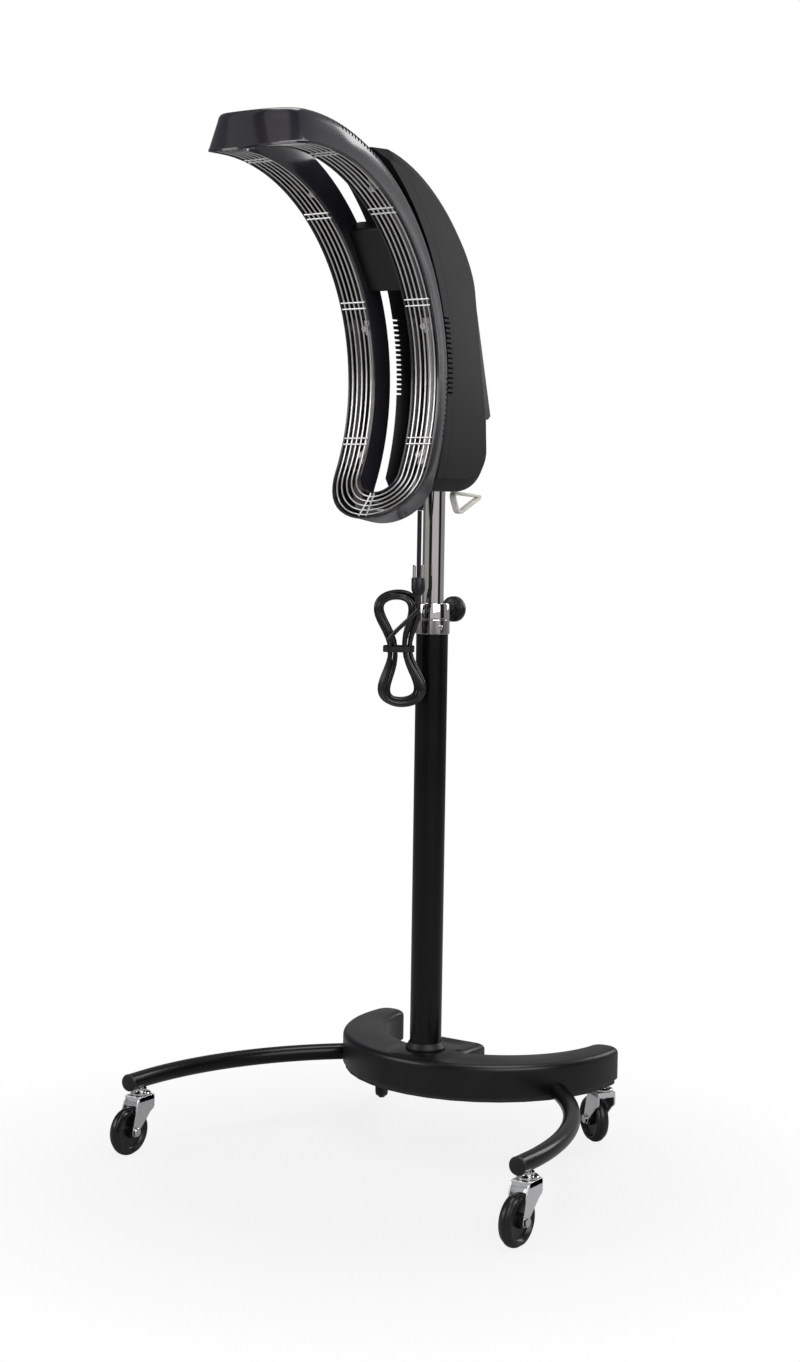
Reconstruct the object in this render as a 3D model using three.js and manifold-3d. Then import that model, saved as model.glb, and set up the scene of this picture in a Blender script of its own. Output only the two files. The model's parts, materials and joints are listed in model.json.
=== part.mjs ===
// Salon infrared hair processor: a curved loop of lamps on a telescopic stand with casters.
// Millimetres, +Z up, floor at z = 0. The client sits on the -Y side, the operator stands at +Y.
// Pieces are first placed about the column's axis; the whole is centred over its footprint at the end.
import * as THREE from "three";
import { mergeVertices } from "three/addons/utils/BufferGeometryUtils.js";
import Module from "manifold-3d";

const wasm = await Module();
wasm.setup();

// Clearances
const SEAT_GAP = 0.3;
const RUN_GAP = 0.4;

// Casters
const WHEEL_RADIUS = 36;
const WHEEL_WIDTH = 20;
const WHEEL_FACETS = 16;
const AXLE_RADIUS = 4;
const CASTER_TRAIL = 26;
const CASTER_HEIGHT = 95;
const FORK_WALL = 2.5;
const FORK_SIDE_GAP = 2;
const STEM_STUD_RADIUS = 5;
const STEM_STUD_LENGTH = 12;
const KINGPIN_RADIUS = 4;
const RACE_RADIUS = 15;

// Legs
const LEG_RADIUS = 12.5;
const LEG_WALL = 2;
const LEG_TRACK = 334;
const LEG_ARC_RADIUS = 440;
const LEG_ARC_Y = -260;
const LEG_ARC_ANGLE = 53;
const LEG_STRAIGHT = 22;
const LEG_FACETS = 10;
const LEG_CAP_LENGTH = 5;
const LEG_PLUG_LENGTH = 14;
const FRONT_STEM_FROM_END = 24;

// Base
const BASE_OUTER_RADIUS = 221;
const BASE_OUTER_Y = 168;
const BASE_INNER_RADIUS = 174;
const BASE_INNER_Y = 200;
const BASE_END_Y = 208;
const BASE_END_ROUND = 16;
const BASE_TOP = 150;
const BASE_BEVEL = 9;
const BASE_WALL = 3;
const BASE_RIM_LIFT = 7;
const CORE_ROOF = 6;
const CORE_FLOOR = 4;
const TONGUE_HALF_WIDTH = 46;
const TONGUE_END_Y = 98;
const TONGUE_DISH_DEPTH = 4;
const MOUND_RADIUS = 64;
const MOUND_TOP = 155;
const POST_RADIUS = 7;
const REAR_STEM_X = 203;
const REAR_STEM_Y = 180;
const OUTER_ARC_STEPS = 10;
const INNER_ARC_STEPS = 6;
const CORNER_STEPS = 3;

// Column and mast
const COLUMN_RADIUS = 23.5;
const COLUMN_WALL = 2;
const COLUMN_TOP = 798;
const FOOT_RING_WIDTH = 6;
const FOOT_RING_HEIGHT = 10;
const COLLAR_WALL = 2;
const COLLAR_SKIRT = 24;
const COLLAR_HEAD = 21;
const BUSH_LENGTH = 40;
const MAST_RADIUS = 16;
const MAST_WALL = 2;
const MAST_BOTTOM = 470;
const MAST_TOP = 1112;
const GUIDE_LENGTH = 25;
const GUIDE_SPIGOT = 30;
const STUD_RADIUS = 4;
const KNOB_RADIUS = 19;
const KNOB_START_Y = 43;
const KNOB_LENGTH = 21;
const CLAMP_BOSS_RADIUS = 9;
const CLAMP_BOSS_END_Y = 33;

// Loop: a racetrack of two arms laid on a cylinder about an axis along X
const ARC_RADIUS = 283;
const LOOP_SETBACK = 111.6;
const ARC_Y = -(ARC_RADIUS + LOOP_SETBACK);
const ARC_Z = 1131.6;
const ARC_BOTTOM = -26.4;
const ARC_TOP = 91.5;
const LOOP_HALF_WIDTH = 78;
const ARM_WIDTH = 47;
const LOOP_DEPTH = 46;
const LOOP_WALL = 2.5;
const OUTER_DRAFT = 15;
const INNER_DRAFT = 3;
const END_DRAFT = 16;
const LOOP_CHAMFER = 5;
const ARM_STATIONS = 12;
const TURN_STATIONS = 6;
const VENT_WIDTH = 3;
const LOOP_VENTS = 6;
const LOOP_VENT_PITCH = 2.6;
const LOOP_VENT_STARTS = [-13, 64];

// Reflector, guard and lamps
const REFLECTOR_SHEET = 0.8;
const REFLECTOR_CLEARANCE = 2.2;
const REFLECTOR_FLOOR = 34;
const REFLECTOR_LIP = 6;
const WIRE_RADIUS = 1.2;
const GUARD_CLEARANCE = 0.9;
const WIRE_COUNT = 5;
const WIRE_PITCH = 8;
const WIRE_DEPTH = 1.6;
const CROSS_STATIONS = [1, 5, 8, 11];
const LAMP_RADIUS = 5;
const LAMP_END_RADIUS = 7;
const LAMP_END_LENGTH = 15;
const LAMP_SPANS = { upper: [57, 86], lower: [-22, 17.5] };

// Hub, bearing and motor on the orbit axis, measured outwards from the arc's axis
const HUB_FRONT = 12;
const HUB_BACK = 40;
const HUB_HALF_LENGTH = 48;
const HUB_RAISE = 11;
const SHAFT_RADIUS = 10;
const SHAFT_FLANGE_RADIUS = 23;
const SHAFT_FLANGE = 6;
const BEARING_RADIUS = 22;
const BEARING_FLANGE_RADIUS = 29;
const BEARING_FLANGE = 6;
const BEARING_LENGTH = 48;
const MOTOR_RADIUS = 24;
const GEARBOX_RADIUS = 28;
const GEARBOX_LENGTH = 20;
const MOTOR_LENGTH = 30;
const MOTOR_SOCKET = 12;

// Rear housing
const HOUSING_FRONT = 75;
const HOUSING_SPLIT = 92;
const HOUSING_WALL = 3;
const HOUSING_FLAT_HALF = 31;
const HOUSING_CHAMFER_X = 14;
const HOUSING_CHAMFER = 18;
const HOUSING_BOTTOM = 982;
const HOUSING_NOSE = 60;
const BACK_LOW = [84, 1090];
const BACK_HIGH = [48, 1275];
const HOUSING_FLOOR_END = 14;
const HOUSING_HEEL = [[60, 4], [84, 28], [87, 58]];
const HOUSING_CROWN = [[36, 60], [-60, 155]];
const HOUSING_TIP = [36.6, 2.6];
const HOUSING_TOP_ANGLE = 60;
const HOUSING_VENTS = 8;
const HOUSING_VENT_PITCH = 14;
const HOUSING_VENT_MIDDLE_Z = 1175;
const HOUSING_VENT_DEPTH = 12;

// Clamp block, panel and what is on it
const BLOCK_BOTTOM = 1030;
const BLOCK_ROOF = 8;
const BLOCK_FRONT_Y = -24;
const BLOCK_BACK_Y = 30;
const PANEL_LENGTH = 180;
const PANEL_HALF_WIDTH = 30;
const PANEL_LOW_THICKNESS = 19;
const PANEL_HIGH_THICKNESS = 4;
const DISPLAY_WIDTH = 42;
const DISPLAY_HEIGHT = 24;
const DISPLAY_DEPTH = 2;
const DISPLAY_AT = 92;
const BUTTON_RADIUS = 5;
const BUTTON_PROUD = 2;
const BUTTON_DEPTH = 4.5;
const BUTTON_TRAVEL = 1.2;
const BUTTON_AT = 56;
const BUTTON_PITCH = 17;
const BOARD_WIDTH = 46;
const BOARD_LENGTH = 90;
const BOARD_SHEET = 1.6;
const BOARD_STANDOFF = 9;
const BOARD_START = 40;

// Cord, its hank, its plug and the hook
const CORD_RADIUS = 3.25;
const GLAND_Y = -38;
const GLAND_RADIUS = 7.5;
const GLAND_LENGTH = 28;
const GLAND_STEM_RADIUS = 5;
const HOOK_HALF_WIDTH = 5;
const HOOK_HALF_THICK = 2.4;
const HOOK_CORNERS = [[46, 981], [62, 949.5], [125, 977]];
const HOOK_ROUND = 9;
const HOOK_PEG_Y = 51;
const HOOK_PEG_RISE = 17;
const HANK_X = -12;
const HANK_Y = -69;
const HANK_Z = 754;
const HANK_TURN = 33.4;
const HANK_LAYERS = 4;
const TURNS_PER_LAYER = 1.5;
const HANK_TURNS = 5.54;
const START_PHASE = 76;
const HANK_PITCH = 7.8;
const LAYER_PITCH = 7.4;
const HANK_LEAN = 2;
const HANK_FAN = 2;
const HANK_LOBE = 44;
const HANK_REACH = 84;
const HANK_WAIST = 16.2;
const HANK_ROUNDING = 1.2;
const WAIST_SPREAD = 0.42;
const LOOP_STEPS = 24;
const TIE_LENGTH = 8;
const TIE_WALL = 1.5;
const TIE_CLEARANCE = 1.8;
const PLUG_ACROSS = 27;
const PLUG_UP = 66;
const PLUG_RADIUS = 10;
const PLUG_LENGTH = 38;
const PIN_LENGTH = 18;
const PIN_RADIUS = 2.4;
const PIN_SPACING = 12;

const object = new THREE.Group();
object.name = "hair_processor";

const finishes = {
  blackPaint: { color: 0x0c0c0e, roughness: 0.3, metalness: 0.2 },
  glossBlack: { color: 0x131316, roughness: 0.25, metalness: 0 },
  castIron: { color: 0x2a2a2c, roughness: 0.8, metalness: 0.4 },
  chrome: { color: 0xd0d2d4, roughness: 0.12, metalness: 1 },
  zinc: { color: 0xb4b8bc, roughness: 0.3, metalness: 1 },
  tyre: { color: 0x141416, roughness: 0.45, metalness: 0 },
  blackPlastic: { color: 0x151517, roughness: 0.5, metalness: 0 },
  greyPlastic: { color: 0x323237, roughness: 0.55, metalness: 0 },
  loopPlastic: { color: 0x2a2930, roughness: 0.28, metalness: 0 },
  ivory: { color: 0xdedbd0, roughness: 0.5, metalness: 0 },
  reflector: { color: 0xc8c8c8, roughness: 0.15, metalness: 1 },
  quartz: { color: 0xd8d4c8, roughness: 0.2, metalness: 0 },
  board: { color: 0x1f4a2c, roughness: 0.6, metalness: 0 },
  glass: { color: 0x101820, roughness: 0.1, metalness: 0 },
  cord: { color: 0x101011, roughness: 0.5, metalness: 0 },
};

const radians = THREE.MathUtils.degToRad;

// Geometry and solid helpers
function weld(geometry) {
  const bare = geometry.index ? geometry : geometry.clone();
  bare.deleteAttribute("normal");
  bare.deleteAttribute("uv");
  return mergeVertices(bare, 1e-4);
}

function solid(geometry) {
  const welded = weld(geometry);
  const mesh = new wasm.Mesh({
    numProp: 3,
    vertProperties: new Float32Array(welded.attributes.position.array),
    triVerts: new Uint32Array(welded.index.array),
  });
  return new wasm.Manifold(mesh);
}

function surface(manifold) {
  const mesh = manifold.getMesh();
  const geometry = new THREE.BufferGeometry();
  geometry.setAttribute("position", new THREE.BufferAttribute(mesh.vertProperties, 3));
  geometry.setIndex(new THREE.BufferAttribute(mesh.triVerts, 1));
  return geometry;
}

function piece(name, shape, finish, parent = object) {
  const geometry = shape.isBufferGeometry ? shape : surface(shape);
  geometry.computeVertexNormals();
  const mesh = new THREE.Mesh(geometry, new THREE.MeshStandardMaterial(finishes[finish]));
  mesh.name = name;
  parent.add(mesh);
  return mesh;
}

function box(low, high) {
  const size = high.map((value, axis) => value - low[axis]);
  const geometry = new THREE.BoxGeometry(...size);
  geometry.translate(...low.map((value, axis) => value + size[axis] / 2));
  return geometry;
}

// Revolves [radius, height] points about the Z axis; the profile closes on itself or on the axis.
function revolve(profile, facets = 20) {
  const points = profile.map(([radius, height]) => new THREE.Vector2(radius, height));
  const onAxis = profile[0][0] === 0 && profile[profile.length - 1][0] === 0;
  if (!onAxis) {
    points.push(points[0].clone());
  }
  const geometry = new THREE.LatheGeometry(points, facets);
  geometry.rotateX(Math.PI / 2);
  return geometry;
}

function rod(radius, low, high, facets = 16) {
  return revolve([[0, low], [radius, low], [radius, high], [0, high]], facets);
}

function ring(inner, outer, low, high, facets = 24) {
  return revolve([[inner, low], [outer, low], [outer, high], [inner, high]], facets);
}

// Turns a solid made along Z so that it runs along Y or X.
function alongY(geometry) {
  return geometry.rotateX(-Math.PI / 2);
}

function alongX(geometry) {
  return geometry.rotateY(Math.PI / 2);
}

// Extrudes a shape drawn in (Y, Z) symmetrically along X.
function extrudeAcross(shape, halfWidth, options = {}) {
  const geometry = new THREE.ExtrudeGeometry(shape, {
    depth: 2 * halfWidth,
    bevelEnabled: false,
    curveSegments: 8,
    ...options,
  });
  geometry.translate(0, 0, -halfWidth);
  geometry.rotateX(Math.PI / 2);
  geometry.rotateZ(Math.PI / 2);
  return geometry;
}

// Joins rings of points into one closed skin, either end to end or capped with the given triangles.
function loft(rings, closed, cap = null) {
  const count = rings[0].length;
  const positions = rings.flat().flatMap((point) => [point.x, point.y, point.z]);
  const index = [];
  const spans = closed ? rings.length : rings.length - 1;
  for (let i = 0; i < spans; i += 1) {
    const next = (i + 1) % rings.length;
    for (let j = 0; j < count; j += 1) {
      const across = (j + 1) % count;
      const a = i * count + j;
      const b = i * count + across;
      const c = next * count + across;
      const d = next * count + j;
      index.push(a, b, c, a, c, d);
    }
  }
  if (!closed) {
    const last = (rings.length - 1) * count;
    const fan = Array.from({ length: count - 2 }, (unused, j) => [0, j + 1, j + 2]);
    for (const [a, b, c] of cap ?? fan) {
      index.push(a, c, b);
      index.push(last + a, last + b, last + c);
    }
  }
  const geometry = new THREE.BufferGeometry();
  geometry.setAttribute("position", new THREE.Float32BufferAttribute(positions, 3));
  geometry.setIndex(index);
  return geometry;
}

// A round tube through points, with rings turned as little as possible from one to the next.
function tubeThrough(points, radiusAt, sides, closed = false) {
  const count = points.length;
  const tangents = points.map((point, i) => {
    const before = points[closed ? (i + count - 1) % count : Math.max(i - 1, 0)];
    const after = points[closed ? (i + 1) % count : Math.min(i + 1, count - 1)];
    return after.clone().sub(before).normalize();
  });
  const seed = Math.abs(tangents[0].z) < 0.9 ? new THREE.Vector3(0, 0, 1) : new THREE.Vector3(1, 0, 0);
  let normal = seed.clone().cross(tangents[0]).normalize();
  const rings = points.map((point, i) => {
    normal = normal.clone().addScaledVector(tangents[i], -normal.dot(tangents[i])).normalize();
    const side = tangents[i].clone().cross(normal);
    return Array.from({ length: sides }, (unused, k) => {
      const angle = (2 * Math.PI * k) / sides;
      const radius = radiusAt(i);
      return point
        .clone()
        .addScaledVector(normal, radius * Math.cos(angle))
        .addScaledVector(side, radius * Math.sin(angle));
    });
  });
  return loft(rings, closed);
}

// Points of an arc in the plan, both ends included
function arcPoints(centreY, radius, from, to, count) {
  return Array.from({ length: count + 1 }, (unused, k) => {
    const angle = from + ((to - from) * k) / count;
    return new THREE.Vector2(radius * Math.cos(angle), centreY + radius * Math.sin(angle));
  });
}

// Points of a rounded corner between two places, without its ends
function cornerPoints(from, corner, to) {
  const curve = new THREE.QuadraticBezierCurve(from, corner, to);
  return curve.getPoints(CORNER_STEPS).slice(1, -1);
}

// Base: a crescent open to the rear, with a tongue behind the column. Only its right half is drawn.
function crescent(inset) {
  const outer = BASE_OUTER_RADIUS - inset;
  const inner = BASE_INNER_RADIUS + inset;
  const end = BASE_END_Y - inset;
  const shoulder = end - BASE_END_ROUND;
  const outerAngle = Math.asin((shoulder - BASE_OUTER_Y) / outer);
  const innerAngle = Math.asin((shoulder - BASE_INNER_Y) / inner);
  const outerX = outer * Math.cos(Math.asin((end - BASE_OUTER_Y) / outer));
  const innerX = inner * Math.cos(Math.asin((end - BASE_INNER_Y) / inner));
  const round = Math.min(BASE_END_ROUND, (outerX - innerX) / 2 - 1);
  const tongue = TONGUE_HALF_WIDTH - inset;
  const tongueAngle = Math.asin(tongue / inner);
  const outerArc = arcPoints(BASE_OUTER_Y, outer, -Math.PI / 2, outerAngle, OUTER_ARC_STEPS);
  const innerArc = arcPoints(BASE_INNER_Y, inner, innerAngle, tongueAngle - Math.PI / 2, INNER_ARC_STEPS);
  const outerEnd = new THREE.Vector2(outerX - round, end);
  const innerEnd = new THREE.Vector2(innerX + round, end);
  const half = [
    ...outerArc,
    ...cornerPoints(outerArc[outerArc.length - 1], new THREE.Vector2(outerX, end), outerEnd),
    outerEnd,
    innerEnd,
    ...cornerPoints(innerEnd, new THREE.Vector2(innerX, end), innerArc[0]),
    ...innerArc,
    new THREE.Vector2(tongue, TONGUE_END_Y - inset),
  ];
  const mirrored = half.slice(1).reverse().map((point) => new THREE.Vector2(-point.x, point.y));
  return [...half, ...mirrored];
}

// Stacks crescents of [inset, height], one above the other, into one solid.
function crescentStack(levels) {
  const outlines = levels.map(([inset]) => crescent(inset));
  const rings = outlines.map((outline, k) => outline.map(
    (point) => new THREE.Vector3(point.x, point.y, levels[k][1]),
  ));
  return solid(loft(rings, false, THREE.ShapeUtils.triangulateShape(outlines[0], [])));
}

// A crescent with its upper edge rounded, reaching down to the floor.
function roundedCrescent(inset, top) {
  const half = Math.SQRT1_2 * BASE_BEVEL;
  return crescentStack([
    [inset, 0],
    [inset, top - BASE_BEVEL],
    [inset + BASE_BEVEL - half, top - BASE_BEVEL + half],
    [inset + BASE_BEVEL, top],
  ]);
}

class LegPath extends THREE.Curve {
  constructor(side) {
    super();
    this.side = side;
    this.arc = LEG_ARC_RADIUS * radians(LEG_ARC_ANGLE);
    this.total = this.arc + LEG_STRAIGHT;
  }

  getPoint(t) {
    const run = t * this.total;
    const angle = Math.max(this.arc - run, 0) / LEG_ARC_RADIUS;
    const past = Math.max(run - this.arc, 0);
    const x = LEG_TRACK - LEG_ARC_RADIUS * (1 - Math.cos(angle));
    const y = LEG_ARC_Y + LEG_ARC_RADIUS * Math.sin(angle) - past;
    return new THREE.Vector3(this.side * x, y, CASTER_HEIGHT + LEG_RADIUS);
  }
}

const LEG_END_Y = LEG_ARC_Y - LEG_STRAIGHT;
const LEG_STEPS = 10;
const FRONT_STEM_Y = LEG_END_Y + FRONT_STEM_FROM_END;
const CORE_TOP = CASTER_HEIGHT + 2 * LEG_RADIUS + CORE_ROOF;
const COLUMN_BOTTOM = CASTER_HEIGHT + CORE_FLOOR + SEAT_GAP;

function circle(radius, facets) {
  const points = Array.from({ length: facets }, (unused, k) => {
    const angle = (2 * Math.PI * k) / facets;
    return new THREE.Vector2(radius * Math.cos(angle), radius * Math.sin(angle));
  });
  return points;
}

function legTube(side, radius, bore) {
  const shape = new THREE.Shape(circle(radius, LEG_FACETS));
  if (bore > 0) {
    shape.holes.push(new THREE.Path(circle(bore, LEG_FACETS)));
  }
  const geometry = new THREE.ExtrudeGeometry(shape, {
    steps: LEG_STEPS,
    bevelEnabled: false,
    extrudePath: new LegPath(side),
  });
  return solid(geometry);
}

const casters = [
  { name: "front_left", x: -LEG_TRACK, y: FRONT_STEM_Y, heading: 0 },
  { name: "front_right", x: LEG_TRACK, y: FRONT_STEM_Y, heading: 0 },
  { name: "rear_left", x: -REAR_STEM_X, y: REAR_STEM_Y, heading: 213 },
  { name: "rear_right", x: REAR_STEM_X, y: REAR_STEM_Y, heading: 236 },
];

function studHole(caster) {
  const holeTop = CASTER_HEIGHT + STEM_STUD_LENGTH + SEAT_GAP;
  const hole = rod(STEM_STUD_RADIUS + SEAT_GAP, CASTER_HEIGHT - 5, holeTop);
  return solid(hole.translate(caster.x, caster.y, 0));
}

function buildBase() {
  const coreInset = BASE_WALL + SEAT_GAP;
  let core = crescentStack([[coreInset, CASTER_HEIGHT], [coreInset, CORE_TOP]]);
  core = core.subtract(solid(rod(COLUMN_RADIUS + SEAT_GAP, COLUMN_BOTTOM - SEAT_GAP, CORE_TOP + 1, 24)));
  let cover = roundedCrescent(0, BASE_TOP);
  cover = cover.add(solid(revolve([
    [0, BASE_TOP - BASE_WALL], [MOUND_RADIUS, BASE_TOP - BASE_WALL], [MOUND_RADIUS, BASE_TOP - 1],
    [MOUND_RADIUS * 0.8, BASE_TOP + 1], [MOUND_RADIUS * 0.55, MOUND_TOP], [0, MOUND_TOP],
  ], 24)).intersect(crescentStack([[BASE_BEVEL, 0], [BASE_BEVEL, MOUND_TOP + 1]])));
  cover = cover.subtract(roundedCrescent(BASE_WALL, BASE_TOP - BASE_WALL));
  for (const angle of [-155, -120, -60, -25]) {
    const reach = (BASE_OUTER_RADIUS + BASE_INNER_RADIUS) / 2;
    const middleY = (BASE_OUTER_Y + BASE_INNER_Y) / 2;
    const post = rod(POST_RADIUS, CORE_TOP + SEAT_GAP, BASE_TOP - BASE_WALL + 1, 12);
    post.translate(reach * Math.cos(radians(angle)), middleY + reach * Math.sin(radians(angle)), 0);
    cover = cover.add(solid(post));
  }
  const rim = CASTER_HEIGHT + BASE_RIM_LIFT;
  cover = cover.subtract(solid(box([-400, -400, -50], [400, 400, rim])));
  cover = cover.subtract(solid(rod(COLUMN_RADIUS + SEAT_GAP, rim, MOUND_TOP + 5, 24)));
  const dish = new THREE.SphereGeometry(1, 16, 8);
  dish.scale(TONGUE_HALF_WIDTH * 0.62, TONGUE_HALF_WIDTH * 0.34, TONGUE_DISH_DEPTH);
  dish.translate(0, TONGUE_END_Y - TONGUE_HALF_WIDTH * 0.6, BASE_TOP + TONGUE_DISH_DEPTH * 0.45);
  cover = cover.subtract(solid(dish));
  for (const side of [-1, 1]) {
    const groove = legTube(side, LEG_RADIUS + SEAT_GAP, 0);
    core = core.subtract(groove);
    cover = cover.subtract(groove);
  }
  for (const caster of casters.slice(2)) {
    core = core.subtract(studHole(caster));
  }
  piece("base_core", core, "castIron");
  piece("base_cover", cover, "glossBlack");
}

function buildLegs() {
  for (const [index, side] of [-1, 1].entries()) {
    const word = side < 0 ? "left" : "right";
    const tube = legTube(side, LEG_RADIUS, LEG_RADIUS - LEG_WALL).subtract(studHole(casters[index]));
    piece(`leg_${word}`, tube, "blackPaint");
    const spigot = LEG_RADIUS - LEG_WALL - SEAT_GAP;
    const cap = revolve([
      [0, -LEG_PLUG_LENGTH], [spigot, -LEG_PLUG_LENGTH], [spigot, SEAT_GAP], [LEG_RADIUS, SEAT_GAP],
      [LEG_RADIUS, LEG_CAP_LENGTH - 1.5], [LEG_RADIUS - 1.5, LEG_CAP_LENGTH], [0, LEG_CAP_LENGTH],
    ], LEG_FACETS);
    cap.rotateX(Math.PI / 2);
    cap.translate(side * LEG_TRACK, LEG_END_Y, CASTER_HEIGHT + LEG_RADIUS);
    piece(`leg_cap_${word}`, cap, "blackPlastic");
  }
}

// One caster about its stem, trailing towards local -Y
const FORK_INNER = WHEEL_WIDTH / 2 + FORK_SIDE_GAP;
const FORK_OUTER = FORK_INNER + FORK_WALL;
const PLATE_BOTTOM = 2 * WHEEL_RADIUS + 5;
const PLATE_TOP = CASTER_HEIGHT - 9.5;
const HEAD_HEIGHT = 3;

function stemShape() {
  const rivetTop = PLATE_BOTTOM - RUN_GAP;
  return revolve([
    [0, rivetTop - HEAD_HEIGHT], [KINGPIN_RADIUS + 3, rivetTop - HEAD_HEIGHT], [KINGPIN_RADIUS + 3, rivetTop],
    [KINGPIN_RADIUS, rivetTop], [KINGPIN_RADIUS, PLATE_TOP + RUN_GAP],
    [RACE_RADIUS, PLATE_TOP + RUN_GAP], [RACE_RADIUS, CASTER_HEIGHT - 5.5],
    [RACE_RADIUS - 6, CASTER_HEIGHT - 4.5], [RACE_RADIUS - 6, CASTER_HEIGHT - SEAT_GAP],
    [STEM_STUD_RADIUS, CASTER_HEIGHT - SEAT_GAP], [STEM_STUD_RADIUS, CASTER_HEIGHT + STEM_STUD_LENGTH],
    [0, CASTER_HEIGHT + STEM_STUD_LENGTH],
  ], 8);
}

function forkShape() {
  const eye = AXLE_RADIUS + 3.5;
  const cheek = new THREE.Shape();
  cheek.moveTo(RACE_RADIUS, PLATE_TOP);
  cheek.lineTo(-RACE_RADIUS - 4, PLATE_TOP);
  cheek.lineTo(-CASTER_TRAIL - eye, WHEEL_RADIUS);
  cheek.absarc(-CASTER_TRAIL, WHEEL_RADIUS, eye, Math.PI, 2 * Math.PI, false);
  cheek.lineTo(RACE_RADIUS, PLATE_BOTTOM - 14);
  let fork = solid(box([-FORK_OUTER, -RACE_RADIUS - 4, PLATE_BOTTOM], [FORK_OUTER, RACE_RADIUS, PLATE_TOP]));
  for (const side of [-1, 1]) {
    const wall = extrudeAcross(cheek, FORK_WALL / 2, { curveSegments: 3 });
    wall.translate(side * (FORK_INNER + FORK_WALL / 2), 0, 0);
    fork = fork.add(solid(wall));
  }
  const axleHole = alongX(rod(AXLE_RADIUS + SEAT_GAP, -40, 40, 8)).translate(0, -CASTER_TRAIL, WHEEL_RADIUS);
  const pinHole = rod(KINGPIN_RADIUS + RUN_GAP, PLATE_BOTTOM - 5, PLATE_TOP + 5, 10);
  return fork.subtract(solid(axleHole)).subtract(solid(pinHole));
}

function axleShape() {
  const head = FORK_OUTER + SEAT_GAP;
  const shape = revolve([
    [0, -head - 3.5], [AXLE_RADIUS + 2, -head - 3.5], [AXLE_RADIUS + 2, -head], [AXLE_RADIUS, -head],
    [AXLE_RADIUS, head], [AXLE_RADIUS + 2.5, head], [AXLE_RADIUS + 2.5, head + 3.5], [0, head + 3.5],
  ], 8);
  return alongX(shape).translate(0, -CASTER_TRAIL, WHEEL_RADIUS);
}

// The tread's flats, not its corners, lie at the wheel's radius, with one flat on the floor.
function wheelShape() {
  const half = WHEEL_WIDTH / 2;
  const bore = AXLE_RADIUS + RUN_GAP;
  const tread = WHEEL_RADIUS / Math.cos(Math.PI / WHEEL_FACETS);
  const shape = revolve([
    [bore, -half - 1], [bore + 5, -half - 1], [bore + 6, -half * 0.45], [tread * 0.7, -half * 0.45],
    [tread * 0.78, -half], [tread, -half * 0.55], [tread, half * 0.55], [tread * 0.78, half],
    [tread * 0.7, half * 0.45], [bore + 6, half * 0.45], [bore + 5, half + 1], [bore, half + 1],
  ], WHEEL_FACETS);
  shape.rotateZ(Math.PI / WHEEL_FACETS);
  return alongX(shape).translate(0, -CASTER_TRAIL, WHEEL_RADIUS);
}

function buildCasters() {
  for (const caster of casters) {
    const group = new THREE.Group();
    group.position.set(caster.x, caster.y, 0);
    group.rotation.z = radians(caster.heading);
    object.add(group);
    piece(`caster_stem_${caster.name}`, stemShape(), "chrome", group);
    piece(`caster_fork_${caster.name}`, forkShape(), "zinc", group);
    piece(`caster_axle_${caster.name}`, axleShape(), "chrome", group);
    piece(`caster_wheel_${caster.name}`, wheelShape(), "tyre", group);
  }
}

// Column, collar, clamp and mast
const COLLAR_RADIUS = COLUMN_RADIUS + COLLAR_WALL;
const COLLAR_TOP = COLUMN_TOP + COLLAR_HEAD;
const CLAMP_Z = COLUMN_TOP + COLLAR_HEAD / 2;

function buildColumn() {
  const bore = COLUMN_RADIUS - COLUMN_WALL;
  piece("column_tube", ring(bore, COLUMN_RADIUS, COLUMN_BOTTOM, COLUMN_TOP), "blackPaint");
  const ringInner = COLUMN_RADIUS + SEAT_GAP;
  const ringLow = MOUND_TOP + SEAT_GAP;
  piece("column_foot_ring", revolve([
    [ringInner, ringLow], [ringInner + FOOT_RING_WIDTH, ringLow],
    [ringInner + FOOT_RING_WIDTH, ringLow + FOOT_RING_HEIGHT * 0.3],
    [ringInner + 1.5, ringLow + FOOT_RING_HEIGHT], [ringInner, ringLow + FOOT_RING_HEIGHT],
  ], 24), "blackPlastic");
  let collar = solid(revolve([
    [MAST_RADIUS + RUN_GAP, COLUMN_TOP + SEAT_GAP], [COLUMN_RADIUS + SEAT_GAP, COLUMN_TOP + SEAT_GAP],
    [COLUMN_RADIUS + SEAT_GAP, COLUMN_TOP - COLLAR_SKIRT], [COLLAR_RADIUS, COLUMN_TOP - COLLAR_SKIRT],
    [COLLAR_RADIUS, COLLAR_TOP - 2], [COLLAR_RADIUS - 2, COLLAR_TOP], [MAST_RADIUS + RUN_GAP, COLLAR_TOP],
  ], 24));
  const boss = alongY(rod(CLAMP_BOSS_RADIUS, COLLAR_RADIUS - 5, CLAMP_BOSS_END_Y)).translate(0, 0, CLAMP_Z);
  const studBore = alongY(rod(STUD_RADIUS + RUN_GAP, 5, CLAMP_BOSS_END_Y + 5, 16)).translate(0, 0, CLAMP_Z);
  collar = collar.add(solid(boss)).subtract(solid(studBore));
  piece("column_collar", collar, "chrome");
  const bushTop = COLUMN_TOP;
  piece("column_bush", ring(
    MAST_RADIUS + RUN_GAP, bore - SEAT_GAP, bushTop - BUSH_LENGTH, bushTop,
  ), "blackPlastic");
}

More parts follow.
